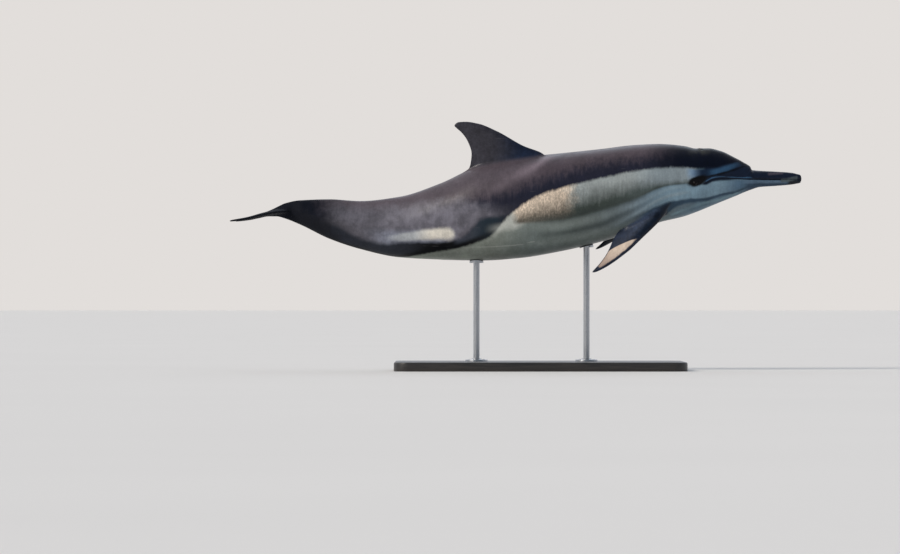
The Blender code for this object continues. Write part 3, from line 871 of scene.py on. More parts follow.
def markings(points, flipper_parts):
    """Named fields over the skin: distances to an edge in metres, positive inside, and soft streaks."""
    station, out, height = upright(points)
    station = np.clip(station, 0.0005, BODY_END)
    degrees = around(station, out, height)[0]
    per_degree = half_girth(station) / 180

    def above(line):
        return (curve(line, station) - degrees) * per_degree

    eye_station, eye_degrees, eye_long, eye_high = EYE_PATCH
    eye_degrees = eye_degrees + EYE_PATCH_TILT * (station - eye_station)
    eye = np.hypot((station - eye_station) / eye_long, (degrees - eye_degrees) * per_degree / eye_high)
    mouth = angle_at_height(station, curve(MOUTH_LINE, station))
    cape_line, dark_line = curve(CAPE_EDGE, station), curve(FLANK_LINES["upper_dark"], station)
    fields = {
        "station": station,
        "degrees": degrees,
        "cape": above(CAPE_EDGE),
        "cape_top": above(CAPE_SHADE),
        "cape_sheen": soft_line(CAPE_SHEEN, station, degrees, 9.0),
        "patch_rise": np.clip((dark_line - degrees) / np.maximum(dark_line - cape_line, 4.0), -0.5, 1.5),
        "rear_top": -above(REAR_PATCH_TOP),
        "rear_low": above(REAR_PATCH_LOW),
        "cream": soft_line(CREAM_STREAK, station, degrees, 10.0) * smooth_step(1.362, 1.392, station),
        "below_dark": (degrees - dark_line) * per_degree,
        "stripe": np.minimum(-above(STRIPE_TOP), above(STRIPE_LOW)),
        "eye_patch": (1 - eye) * eye_high,
        "jaw": (degrees - mouth) * per_degree,
    }
    for name, line in THIN_LINES.items():
        fields[name] = line_distance(line, station, degrees, per_degree)
    width = 2.0 + 2.6 * smooth_step(0.50, 0.85, station)
    for name, line in FLANK_LINES.items():
        fields[name] = soft_line(line, station, degrees, width * (1.2 if name == "lower_light" else 1.0))
    clear = clear_of_body(points)
    on_fin = ((station > 0.95) & (height > 0)) | (station > 2.0)
    fields["fin"] = np.where(on_fin, smooth_step(-0.002, 0.012, clear), 0.0)
    flipper = {
        "flipper": np.zeros(len(points)),
        "flipper_out": np.zeros(len(points)),
        "flipper_back": np.zeros(len(points)),
        "flipper_patch": np.full(len(points), -1.0),
    }
    rim_front, rim_rear, patch_end = FLIPPER_MARGIN
    share = np.linspace(0, 1, 200)
    for side, chosen in flipper_parts.items():
        root, *ways = flipper_axes(side)
        span, forward, face = ((points - root) @ way for way in ways)
        front = np.interp(span, *edge_points(FLIPPER_FRONT, share))
        rear = np.interp(span, *edge_points(FLIPPER_REAR, share))
        inside = np.minimum(front - rim_front - forward, forward - rear - rim_rear)
        inside = np.minimum(inside, (span - curve(PATCH_START, forward)) * 0.8)
        inside = np.where(face > 0, np.minimum(inside, patch_end - span), -1.0)
        here = (smooth_step(-0.004, 0.009, clear), span, front - forward, inside)
        for name, values in zip(flipper, here):
            flipper[name] = np.where(chosen, values, flipper[name])
    return {**fields, **flipper}


class SkinPaint(Paint):
    """Paint that knows the skin's fields."""

    def __init__(self, name):
        super().__init__(name)
        self.station, self.degrees = self.attribute("station"), self.attribute("degrees")
        self.jaw = self.attribute("jaw")
        self.wobble = self.noise(38.0, 4.0, 0.6) - 0.5
        self.streaks = self.noise(1.0, 4.0, 0.65, self.stretched((85.0, 50.0, 11.0))) - 0.5

    def edge(self, name, width, shake=0.012, rough=0.0):
        """1 inside a marking, with an edge that wanders by shake and is ragged by rough."""
        return self.ramp(self.attribute(name) + self.wobble * shake + self.streaks * rough, -width, width)

    def near(self, name, width):
        """1 on a thin line."""
        return self.ramp(self.attribute(name) + self.wobble * 0.006, width * 1.5, width * 0.35)

    def along(self, first, full, last=None, gone=None):
        """Rises between the stations first and full, and falls between last and gone."""
        rising = self.ramp(self.station, first, full)
        return rising * self.up_to(last, gone) if last else rising

    def up_to(self, last, gone):
        return self.ramp(self.station, gone, last)


def paint_belly(p, look):
    """Belly and throat with painted shade on the underside, the pale rim under the cape's point, and the
    band below the front patch.
    """
    p.lay(p.mix(look.belly, look.belly_rear, p.along(1.06, 1.26)))
    # Painted shade: the underside darkens towards the midline over the front of the body; towards the tail
    # it is lightened instead.
    under = p.ramp(p.station, 1.15, 1.35, 0.68, 1.15)
    p.colour = p.scaled(p.colour, p.ramp(p.degrees, 126, 150, 1.0, under))
    p.lay(look.throat, p.up_to(0.42, 0.66))
    p.lay(look.throat_light, p.ramp("throat_light", 0.016, 0.002) * 0.5)
    rim = p.ramp(p.attribute("cape") + p.ramp(p.station, 1.12, 1.20, 0.048, 0.0), -0.034, -0.008)
    p.lay(look.belly_light, rim * p.along(1.08, 1.15, 1.18, 1.26) * 0.85)
    p.lay(look.band, p.ramp("below_dark", 0.130, 0.060) * p.along(0.40, 0.46, 0.62, 0.96))


def paint_front_patch(p, look):
    """The front patch: pale blue by the eye, greenish grey, then tan, and palest next to the cape. Its dim
    lower colours are painted shade, and its tan end is partly painted warm light.
    """
    tan = p.station + p.wobble * 0.08
    high = p.mix(look.patch_blue, look.patch_pale, p.along(0.56, 0.72))
    high = p.mix(high, look.patch_tan, p.ramp(tan, 0.89, 0.96))
    # Painted shade: dim copies of the patch's colours for its lower part.
    low = p.mix(look.patch_low_front, look.patch_low, p.along(0.62, 0.80))
    low = p.mix(low, look.patch_low_tan, p.ramp(tan, 0.90, 0.97))
    rise = p.attribute("patch_rise") + (p.streaks + p.wobble) * 0.26
    rise = (rise - p.ramp(p.station, 0.52, 0.66, -0.06, 0.15)) / p.ramp(p.station, 0.50, 0.80, 0.32, 0.64)
    patch = p.mix(low, high, rise)
    # Painted glints: grainy lighter and darker specks on the tan end, like sun glinting on wet ripples.
    painted_glints = p.ramp(p.noise(1.0, 3.0, 0.7, p.stretched((170.0, 120.0, 85.0))), 0.40, 0.64, 0.80, 1.28)
    patch = p.mix(patch, p.scaled(patch, painted_glints), p.ramp(tan, 0.82, 0.95))
    inside = p.ramp("below_dark", 0.010, -0.004) * p.along(0.415, 0.44)
    p.lay(patch, inside * p.ramp(p.station + p.wobble * 0.05, 1.168, 1.130))


def paint_cheek(p, look):
    """The pale cheek between the mouth, the eye and the flipper's stripe."""
    share = p.math("MAXIMUM", p.ramp(p.jaw, 0.0, 0.004), p.along(0.40, 0.42))
    share = p.along(0.20, 0.27, 0.54, 0.70) * share
    share = share * p.ramp("below_dark", -0.002, 0.006) * p.ramp(p.degrees, 116, 108)
    p.lay(p.mix(look.cheek_front, look.cheek, p.along(0.22, 0.34)), share)


def paint_flank_lines(p, look):
    """Four soft lines with their strength in front, behind and at the end, then the belly's crease."""
    pale = p.mix(look.flank_light, look.flank_light_rear, p.along(0.62, 0.86))
    for line, colour, front, rear, last in (
        ("upper_dark", look.flank_dark, 0.45, 0.70, 1.0),
        ("upper_light", pale, 0.55, 0.26, 1.0),
        ("lower_dark", look.flank_dark, 0.06, 0.62, 0.4),
        ("lower_light", pale, 0.95, 0.36, 1.0),
    ):
        strength = p.ramp(p.station, 0.62, 0.82, front, rear) * p.ramp(p.station, 0.94, 1.06, 1.0, last)
        p.lay(colour, strength * line)
    p.lay(look.belly_light, p.ramp("crease", 0.0052, 0.0010) * 0.36)


def paint_jaws(p, look):
    """Both jaws, a painted reflection along the top of the beak, the stripe under the cheek and the dark
    lip.
    """
    p.lay(look.upper_jaw, p.ramp(p.jaw, 0.001, -0.002) * p.up_to(0.385, 0.405))
    line = p.ramp(p.jaw, 0.001, 0.004) * p.ramp(p.jaw, 0.018, 0.009)
    lower = p.mix(look.lower_jaw, look.jaw_light, line)
    lower = p.mix(lower, look.jaw_tip, p.up_to(0.046, 0.064))
    p.lay(lower, p.ramp(p.jaw, 0.0, 0.002) * p.up_to(0.20, 0.25))
    # Painted reflection: a paler streak along the top of the beak.
    p.lay(look.beak_top, p.ramp("beak_top", 0.010, 0.001) * 0.7)
    p.lay(look.stripe, p.edge("stripe", 0.007) * p.along(0.14, 0.22, 0.62, 0.68))
    lip = p.ramp(p.jaw - p.ramp(p.station, 0.24, 0.32, -0.002, 0.005), 0.006, -0.001)
    lip = lip * p.ramp(p.jaw, -0.001, 0.001) * p.ramp(p.station, 0.19, 0.28, 0.55, 1.0)
    p.lay(look.lip, lip * p.up_to(0.392, 0.412))


def paint_cape(p, look):
    """The cape, paler on top and slate below, partly as painted warm light and painted shade, with a
    painted sheen and the dark side band behind its point.
    """
    top = p.attribute("cape_top") + p.streaks * 0.07 + p.wobble * 0.05
    # Lit and shaded copies of the cape: brown on top and slate below, partly painted light and shade.
    cape = p.mix(look.cape_low, look.cape, p.ramp(top, -0.045, 0.045))
    cape = p.mix(cape, look.cape_sheen, "cape_sheen")
    cape = p.mix(look.cape_head, cape, p.along(0.46, 0.66))
    over_tail = p.along(1.02, 1.30) * p.ramp("rear_low", -0.01, 0.02) * p.ramp(top, -0.03, 0.05)
    cape = p.mix(cape, look.cape_rear, over_tail)
    side = p.mix(look.side_band, look.side_slate, p.along(1.26, 1.34))
    side = p.mix(side, look.band_black, p.along(1.370, 1.400))
    side = p.mix(side, look.side_rear, p.along(1.48, 1.60))
    cape = p.mix(cape, side, p.along(1.16, 1.24) * p.ramp("rear_low", 0.010, -0.008))
    cape = p.mix(cape, look.band_black, p.along(1.18, 1.32) * p.ramp("cape", 0.034, 0.012))
    p.lay(cape, p.edge("cape", 0.008, 0.012, 0.014))
    streak = p.ramp("side_streak", 0.024, 0.0) * p.ramp(p.station, 1.28, 1.18, 0.0, 0.55)
    p.lay(look.belly_light, streak * p.along(1.10, 1.16))


def paint_rear_patch(p, look):
    """The grey rear patch with a painted blue sheen on its lower half and its cream streak, partly a
    painted highlight, and the dark tail behind it.
    """
    # Painted sheen: the lower half of the patch turns blue-grey.
    low = p.ramp(p.degrees, 92, 112) * p.along(1.36, 1.46, 1.60, 1.78)
    grey = p.mix(look.rear_grey, look.rear_blue_sheen, low)
    grey = p.scaled(grey, p.ramp(p.noise(20.0, 3.0, 0.6), 0.34, 0.66, 0.74, 1.16))
    grey = p.scaled(grey, p.ramp(p.station, 1.52, 1.74, 1.0, 0.76))
    inside = p.edge("rear_top", 0.035, 0.05) * p.edge("rear_low", 0.012)
    p.lay(grey, inside * p.along(1.10, 1.30, 1.86, 1.96) * 0.92)
    # The cream streak is partly pale skin and partly a painted highlight.
    cream = p.ramp(p.attribute("cream") + p.wobble * 0.35, 0.20, 0.85) * p.ramp("cream", 0.0, 0.15)
    pale = p.mix(look.rear_cream, look.rear_pale, p.along(1.47, 1.56))
    p.lay(pale, cream * p.ramp(p.station, 1.54, 1.66, 1.0, 0.6))
    tail = p.station + p.wobble * 0.12 + p.ramp(p.degrees, 84, 130, 0.0, 0.03, smooth=False)
    p.lay(look.tail, p.ramp(tail, 1.80, 1.97))


def paint_face(p, look):
    """The haze round the blowhole, the pale brow and lip lines, the dark bridle, and the eye's patch."""
    haze = p.along(0.34, 0.40, 0.43, 0.49) * p.ramp(p.degrees, 34, 14) * p.ramp(p.noise(24.0), 0.38, 0.64)
    p.lay(look.crown, haze * 0.7)
    p.lay(look.brow, p.ramp("brow", 0.016, 0.002) * p.along(0.225, 0.305, 0.360, 0.400) * 0.9)
    over_eye = p.ramp("brow", 0.046, 0.004) * p.ramp("cape", 0.002, -0.006)
    over_eye = over_eye * p.along(0.345, 0.400, 0.455, 0.53)
    p.lay(p.mix(look.brow_dark, look.brow_rear, p.along(0.400, 0.462)), over_eye)
    p.lay(look.brow, p.near("lip_light", 0.0025) * p.along(0.18, 0.23, 0.385, 0.40))
    p.lay(look.bridle, p.near("bridle", 0.0035) * p.along(0.20, 0.24))
    p.lay(look.lip, p.ramp(p.math("ABSOLUTE", p.jaw), 0.0030, 0.0012) * p.up_to(0.386, 0.396))
    p.lay(look.beak_spot, p.ramp("beak_spot", 0.0095, 0.002) * 0.75)
    p.lay(look.eye_patch, p.edge("eye_patch", 0.004, 0.006))


def paint_fins(p, look):
    """The dorsal fin and flukes, then the flippers with their tan patch, partly painted warm light, and
    their inner face darkened as painted shade.
    """
    fin = p.mix(look.fin_front, look.fin, p.along(1.12, 1.26))
    fin = p.scaled(fin, p.ramp(p.noise(42.0, 4.0, 0.7), 0.32, 0.68, 0.72, 1.30, smooth=False))
    p.lay(p.mix(fin, look.tail, p.along(1.70, 1.90)), "fin")
    # The root's navy front is partly painted shade, and its slate blue behind is partly a painted sheen.
    behind_edge = p.attribute("flipper_back") + p.wobble * 0.04
    root = p.mix(look.flipper_front, look.flipper_root, p.ramp(behind_edge, 0.014, 0.044))
    flipper = p.mix(root, look.flipper, p.ramp("flipper_out", 0.05, 0.15))
    flipper = p.scaled(flipper, p.ramp(p.noise(34.0, 4.0, 0.7), 0.34, 0.66, 0.60, 1.40, smooth=False))
    # The tan patch is pale skin, partly painted warm sunlight.
    tan = p.mix(look.flipper_patch, look.flipper_tip, p.ramp("flipper_out", 0.19, 0.31))
    flipper = p.mix(flipper, tan, p.edge("flipper_patch", 0.003, 0.006))
    # Painted shade: the inner face is blue-black.
    p.lay(p.mix(look.flipper_under_shade, flipper, p.ramp("flipper_patch", -0.9, -0.5)), "flipper")


def paint_wear_and_sheen(p, look):
    """Mottling, faint streaks round the girth that are partly a painted sheen of wet ripples, then faint
    scars.
    """
    mottle = p.ramp(p.noise(11.0, 5.0, 0.66), 0.28, 0.72, 0.78, 1.22, smooth=False)
    # Partly painted sheen: faint lighter and darker streaks round the girth, like wet ripples.
    streaks = p.ramp(p.streaks, -0.22, 0.22, 0.90, 1.10, smooth=False)
    fine = p.ramp(p.noise(150.0, 3.0, 0.6), 0.3, 0.7, 0.92, 1.07, smooth=False)
    p.colour = p.scaled(p.colour, mottle * streaks * fine)
    scars = p.ramp(p.noise(1.0, 2.0, 0.5, p.stretched((14.0, 30.0, 210.0))), 0.66, 0.74)
    scars = scars * p.ramp(p.noise(5.0, 1.0), 0.52, 0.62)
    p.lay(look.scar, scars * p.along(0.50, 0.70, 1.60, 1.85) * 0.14)


def skin_material(look):
    """The wet skin: every marking is a layer over the ones before it."""
    p = SkinPaint("wet_skin")
    for paint in (
        paint_belly, paint_front_patch, paint_cheek, paint_flank_lines, paint_jaws, paint_cape,
        paint_rear_patch, paint_face, paint_fins, paint_wear_and_sheen,
    ):
        paint(p, look)
    least, most = look.roughness - 0.06, look.roughness + 0.08
    rough = p.ramp(p.noise(26.0, 4.0, 0.6), 0.3, 0.7, least, most, smooth=False)
    dull = p.along(1.94, 2.06)  # the flukes have no wet film
    off_fins = 1.0 - p.math("MAXIMUM", "fin", "flipper")
    ripples = p.noise(1.0, 3.0, 0.55, p.stretched((95.0, 40.0, 22.0)), 0.4)
    ripples = p.bumps(ripples * p.ramp(off_fins, 0.0, 1.0, 0.25, 1.0), 0.0012, 0.5)
    return p.surface(
        Base_Color=p.colour,
        Roughness=p.math("MAXIMUM", rough, dull * 0.85),
        Coat_Weight=(1.0 - dull) * p.along(0.30, 0.50) * look.wetness,
        Coat_Roughness=0.12,
        Specular_IOR_Level=0.15,
        Normal=p.bumps(p.noise(420.0, 2.0, 0.5), 0.0003, 0.35, ripples),
    )


# ---------------------------------------------------------------- other materials


def eye_material(side, centre, outward):
    """A near-black eye: a dark iris with a pupil, and the white only behind the lids."""
    p = Paint("eye_" + side)
    away = p.vectors("NORMALIZE", p.vectors("SUBTRACT", p.place, centre))
    facing = p.vectors("DOT_PRODUCT", away, outward, "Value")
    p.lay(p.mix(tone(14, 11, 9), tone(7, 6, 6), p.noise(900.0, 3.0, 0.6)))
    p.lay(tone(4, 4, 6), p.ramp(facing, 0.925, 0.945))
    p.lay(tone(8, 7, 8), p.ramp(facing, 0.70, 0.62))
    return p.surface(Base_Color=p.colour, Roughness=0.06, Specular_IOR_Level=0.16)


def oak_material(look):
    """Black-stained oak, with its grain along the plinth."""
    p = Paint("black_oak")
    where = p.stretched((1.2, 22.0, 22.0))
    grain = p.noise(4.0, 6.0, 0.62, where, 1.2)
    pores = p.ramp(p.noise(30.0, 3.0, 0.5, where), 0.62, 0.70)
    p.lay(p.mix(look.oak_dark, look.oak_light, p.ramp(grain, 0.35, 0.68)))
    p.lay(tone(8, 7, 7), pores * 0.7)
    rough = p.ramp(grain, 0.3, 0.7, 0.38, 0.52)
    normal = p.bumps(grain - pores, 0.0006, 0.5)
    return p.surface(
        Base_Color=p.colour, Roughness=rough, Coat_Weight=0.25, Coat_Roughness=0.3, Normal=normal
    )


def steel_material(look):
    """Steel brushed along the rods."""
    p = Paint("brushed_steel")
    brushing = p.noise(1.0, 3.0, 0.6, p.stretched((900.0, 900.0, 18.0)))
    colour = p.mix(tuple(0.8 * c for c in look.steel), look.steel, brushing)
    rough = p.ramp(brushing, 0.3, 0.7, 0.24, 0.40)
    normal = p.bumps(brushing, 0.00015, 0.4)
    return p.surface(Base_Color=colour, Metallic=1.0, Roughness=rough, Normal=normal)


def pad_material():
    """Black rubber."""
    p = Paint("rubber_pad")
    return p.surface(Base_Color=p.mix(tone(22, 22, 23), tone(34, 34, 36), p.noise(300.0)), Roughness=0.7)


def floor_material(look):
    """A pale matt floor with a faint cloudiness."""
    p = Paint("pale_floor")
    colour = p.mix(look.floor, tuple(0.96 * c for c in look.floor), p.noise(0.6, 2.0))
    return p.surface(Base_Color=colour, Roughness=0.75, Specular_IOR_Level=0.2)


# ---------------------------------------------------------------- settings


def colour_setting(name, description, default):
    """A colour setting in linear values."""
    return bpy.props.FloatVectorProperty(
        name=name, description=description, subtype="COLOR", size=3, min=0.0, max=1.0, default=default
    )


def shade(name, description, *levels):
    """A colour setting, written as it shows on a screen (0 to 255)."""
    return colour_setting(name, description, tone(*levels))


def number_setting(name, description, default, unit="NONE"):
    return bpy.props.FloatProperty(name=name, description=description, default=default, unit=unit)


def length_setting(name, description, default):
    return number_setting(name, description, default, "LENGTH")


def share_setting(name, description, default):
    return bpy.props.FloatProperty(
        name=name, description=description, default=default, min=0.0, max=1.0, subtype="FACTOR"
    )


def count_setting(name, description, default):
    return bpy.props.IntProperty(name=name, description=description, default=default, min=24)


class DolphinSkinLook(bpy.types.PropertyGroup):
    """Colours and fineness of the skin."""

    columns: count_setting("Columns", "Mesh columns from beak to tail", 420)
    rows: count_setting("Rows", "Mesh rows round the body", 156)
    roughness: share_setting("Roughness", "Of the skin under its wet film", 0.36)
    wetness: share_setting("Wetness", "Weight of the wet film", 0.05)
    # The cape's brown top and slate lower half are partly painted warm light and painted shade; its sheen
    # is a painted highlight.
    cape: shade("Cape", "Brown of the back", 78, 69, 76)
    cape_low: shade("Cape, low", "Slate of the cape's lower half", 33, 34, 48)
    cape_sheen: shade("Cape's sheen", "Paler brown in front of and below the fin", 126, 114, 123)
    cape_head: shade("Cape on the head", "Blue-black of the crown", 4, 9, 25)
    crown: shade("Blowhole haze", "Olive grey round the blowhole", 62, 62, 56)
    cape_rear: shade("Cape behind the fin", "Brown over the tail", 86, 78, 85)
    side_band: shade("Side band", "Dark teal behind the cape's point", 30, 44, 55)
    side_slate: shade("Side band, rear", "Slate next to the cream streak", 62, 67, 78)
    side_rear: shade("Tail stock, low", "Dark grey under the rear patch", 38, 42, 52)
    band_black: shade("Side band's edge", "Black line over the belly", 8, 11, 15)
    # The patch's tan is partly painted warm light; its dim lower colours are painted shade.
    patch_tan: shade("Tan patch", "Tan end of the front patch", 222, 204, 184)
    patch_pale: shade("Pale patch", "Upper part of the front patch", 153, 160, 160)
    patch_blue: shade("Blue patch", "Front patch behind the eye", 142, 154, 160)
    patch_low: shade("Patch, low", "Dim lower part of the front patch", 60, 69, 65)
    patch_low_front: shade("Patch, low, front", "Dim lower part behind the eye", 82, 93, 92)
    patch_low_tan: shade("Tan patch, low", "Dim lower part of the tan patch", 104, 98, 88)
    band: shade("Lower band", "Blue-grey under the front patch", 96, 110, 118)
    flank_dark: shade("Flank lines, dark", "Dark lines along the flank", 54, 62, 60)
    flank_light: shade("Flank lines, light", "Pale lines along the flank", 140, 158, 168)
    flank_light_rear: shade("Flank lines, rear", "Pale lines on the belly", 140, 147, 142)
    # The belly's grey is partly painted shade; the real belly is paler.
    belly: shade("Belly", "Grey of the belly", 122, 132, 129)
    belly_rear: shade("Belly, rear", "Grey of the belly behind the stand", 134, 140, 132)
    belly_light: shade("Belly under the cape", "Pale rim of the belly", 196, 198, 192)
    throat: shade("Throat", "Grey of the throat", 92, 116, 132)
    throat_light: shade("Throat's streak", "Pale streak along the throat", 122, 150, 160)
    cheek: shade("Cheek", "Pale blue under the eye", 126, 152, 168)
    cheek_front: shade("Cheek, front", "Blue along the rear of the mouth", 74, 102, 128)
    lip: shade("Lip", "Dark line of the mouth", 16, 24, 38)
    upper_jaw: shade("Upper jaw", "Blue-black over the mouth", 21, 30, 48)
    lower_jaw: shade("Lower jaw", "Dark blue of the lower beak", 48, 66, 86)
    jaw_light: shade("Lower jaw's line", "Pale line along the lower beak", 88, 109, 130)
    beak_spot: shade("Beak's spot", "Pale spot near the beak's tip", 78, 88, 92)
    # A painted reflection along the top of the beak.
    beak_top: shade("Beak's painted reflection", "Painted reflection on top of the beak", 86, 81, 93)
    jaw_tip: shade("Lower jaw's tip", "Dark end of the lower jaw", 26, 32, 40)
    stripe: shade("Flipper stripe", "Dark blue stripe from jaw to flipper", 53, 74, 92)
    rear_grey: shade("Rear patch", "Grey of the rear patch", 112, 110, 120)
    # The lower half's blue-grey is a painted sheen; the cream streak is partly a painted highlight.
    rear_blue_sheen: shade("Rear patch, low", "Blue-grey of the rear patch's lower half", 150, 155, 172)
    rear_cream: shade("Cream streak", "Palest streak of the rear patch", 232, 226, 214)
    rear_pale: shade("Cream streak, rear", "Faint grey end of the cream streak", 186, 190, 194)
    tail: shade("Tail", "Near-black end of the tail", 12, 15, 25)
    brow: shade("Brow", "Blue line over the bridle", 54, 87, 118)
    brow_rear: shade("Brow behind", "Pale spot over the eye", 121, 148, 176)
    brow_dark: shade("Brow, dark", "Dark blue over the front of the eye", 20, 36, 58)
    bridle: shade("Bridle", "Dark line from eye to beak", 10, 15, 26)
    eye_patch: shade("Eye patch", "Black round the eye", 1, 1, 4)
    fin: shade("Fins", "Dark slate of the dorsal fin", 57, 56, 64)
    fin_front: shade("Fin's front", "Blue-black of the fin's front edge", 27, 36, 56)
    flipper: shade("Flipper", "Dark slate of the flippers", 32, 41, 59)
    # The flipper root's colours are partly painted sheen and shade, the inner face is painted shade, and
    # the tan is partly painted warm light.
    flipper_root: shade("Flipper root", "Slate blue at the flipper's root", 54, 66, 88)
    flipper_front: shade("Flipper root, front", "Navy at the front of the root", 15, 26, 42)
    flipper_under_shade: shade("Flipper, underside", "Blue-black of the inner face", 13, 18, 28)
    flipper_patch: shade("Flipper patch", "Pale tan on the flipper's outer face", 204, 186, 170)
    flipper_tip: shade("Flipper patch, outer", "Tan nearer the flipper's tip", 154, 135, 125)
    scar: shade("Scars", "Faint old scratches", 150, 146, 150)


class DolphinStandLook(bpy.types.PropertyGroup):
    """Sizes and colours of the stand."""

    edge_round: length_setting("Edge rounding", "Of the plinth's upper edge", 0.006)
    oak_dark: shade("Oak, dark", "Ground of the stained oak", 26, 24, 24)
    oak_light: shade("Oak, light", "Grain of the stained oak", 48, 44, 42)
    steel: colour_setting("Steel", "Of rods, feet and cups", (0.56, 0.57, 0.59))


class DolphinStageLook(bpy.types.PropertyGroup):
    """Floor, light and camera."""

    floor: shade("Floor", "Pale floor", 226, 223, 220)
    backdrop: shade("Backdrop", "Pale air behind the dolphin", 226, 222, 219)
    front_air: colour_setting("Front air", "Cool light from the viewer's side", (0.20, 0.24, 0.29))
    back_air: colour_setting("Back air", "Bright light from behind the dolphin", (0.72, 0.74, 0.78))
    key_power: number_setting("Key power", "Strength of the warm light", 2.4)
    key_from: bpy.props.FloatVectorProperty(
        name="Key from",
        description="Side that the key light comes from",
        default=(-0.70, -0.48, 0.52),
        subtype="DIRECTION",
    )
    camera_distance: length_setting("Camera distance", "From the dolphin's midplane", 20.0)
    camera_height: length_setting("Camera height", "Over the floor", 0.27)
    aim_x: length_setting("Aim X", "Place along the dolphin at the view's middle", -0.268)
    aim_z: length_setting("Aim height", "Height at the view's middle", 0.374)


# ---------------------------------------------------------------- pieces


def eye_ball(side):
    """Centre and radius of the eyeball that the frame holds."""
    low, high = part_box("eye_" + side)
    return np.array((low + high) / 2), (high.x - low.x) / 2


def dressed(made, material, slot, *nodes):
    """A finished piece: its material, its body and the CAD nodes that it stands for. The slot is not used.
    """
    made.data.materials.clear()
    made.data.materials.append(material)
    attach(made, BODY)
    if nodes:
        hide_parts(*nodes)
    return made


def added(name, bm, sharp=None):
    """The smooth object of a bmesh, with sharp edges past an angle in degrees."""
    mesh = bpy.data.meshes.new(name)
    bm.to_mesh(mesh)
    bm.free()
    mesh.shade_smooth()
    if sharp:
        mesh.set_sharp_from_angle(angle=math.radians(sharp))
    made = bpy.data.objects.new(name, mesh)
    bpy.context.scene.collection.objects.link(made)
    return made


# The stand's trim, in metres.
PLINTH_CORNER = 0.06
PLINTH_FOOT_EDGE = 0.002
COLLAR = 0.007  # the foot's collar stands this far out from the rod
COLLAR_RISE = 0.004  # and this far over the foot's flange
FOOT_RIM = 0.003  # rounding of the foot's upper rim
SCREW_RING = 0.032  # from the rod's middle to a screw's
# Radius and height over the foot's top: the head's side, its dome and its socket.
SCREW_HEAD = (
    (0.0, -0.006), (0.0052, -0.006), (0.0052, -0.0036), (0.0046, -0.0026), (0.0034, -0.0020),
    (0.0022, -0.0019), (0.0020, -0.0032), (0.0, -0.0034),
)
PAD_MARGIN = 0.0015  # the rubber pad ends inside the cup's rim
PAD_BASE, PAD_TOP = 0.0042, 0.0008  # below the skin
# How finely the trim is made: points round a piece, rings that follow the belly, sharp edges in degrees.
ROUND_SIDES = 72
DISH_RINGS = 10
SHARP_EDGE = 35


def turned(name, profile, centre, sides=ROUND_SIDES):
    """A piece turned on an upright axis: the profile is (radius, height), from the axis out and back."""
    bm = bmesh.new()
    points = [bm.verts.new((radius, 0.0, height)) for radius, height in profile]
    edges = [bm.edges.new(pair) for pair in zip(points, points[1:])]
    full, axis = 2 * math.pi, (0, 0, 1)
    bmesh.ops.spin(
        bm, geom=points + edges, cent=(0, 0, 0), axis=axis, angle=full, steps=sides, use_merge=True
    )
    bmesh.ops.remove_doubles(bm, verts=bm.verts, dist=1e-6)
    bmesh.ops.recalc_face_normals(bm, faces=bm.faces)
    bmesh.ops.translate(bm, verts=bm.verts, vec=(*centre, 0.0))
    return added(name, bm, SHARP_EDGE)


def foot_profile(radius, collar, floor, top):
    """A flange with a rounded rim that rises to the rod's collar."""
    flange = top - COLLAR_RISE
    rim = [(0.0, floor), (radius, floor), (radius, flange - FOOT_RIM)]
    for angle in np.linspace(0.2, 1.57, 6):
        inward, down = FOOT_RIM * (1 - math.cos(angle)), FOOT_RIM * (1 - math.sin(angle))
        rim.append((radius - inward, flange - down))
    rise = (
        (collar + 0.006, COLLAR_RISE), (collar + 0.002, 0.003), (collar, 0.001), (collar, 0.0), (0.0, 0.0),
    )
    return rim + [(out, top - down) for out, down in rise]


def belly_level(x, y):
    """Height of the skin's underside over points of the floor near the midplane."""
    degrees = np.linspace(140, 220, 161)
    levels = np.empty(len(x))
    for i, (station, across) in enumerate(zip(NOSE_X - x, y)):
        ring = body_surface(np.full(len(degrees), station), np.radians(degrees))
        order = np.argsort(ring[:, 1])
        levels[i] = np.interp(across, ring[order, 1], ring[order, 2])
    return levels


def dish(name, radius, floor, centre, under, over):
    """A disc over metres below the skin: its underside is flat, or under metres below the skin."""
    ring = radius / (DISH_RINGS + 1)
    bm = bmesh.new()
    size = {"radius1": radius, "radius2": radius, "depth": 1.0}
    bmesh.ops.create_cone(bm, cap_ends=True, segments=ROUND_SIDES, **size)
    for face in [f for f in bm.faces if abs(f.normal.z) > 0.5]:
        for _ in range(DISH_RINGS):
            bmesh.ops.inset_region(bm, faces=[face], thickness=ring, use_even_offset=False)
    bmesh.ops.translate(bm, verts=bm.verts, vec=(*centre, 0.0))
    made = added(name, bm)
    points = mesh_points(made.data)
    level = belly_level(points[:, 0], points[:, 1])
    points[:, 2] = np.where(points[:, 2] > 0, level - over, level - under if under else floor)
    move_points(made.data, points)
    made.data.set_sharp_from_angle(angle=math.radians(40))
    return made


# ---------------------------------------------------------------- studio

FLOOR_RADIUS = 160.0
LENS, SENSOR_WIDTH = 200.0, 36.0  # millimetres
AIR_TURN = (-0.5, 0.6)  # share of straight back between which the front air gives way to the back air


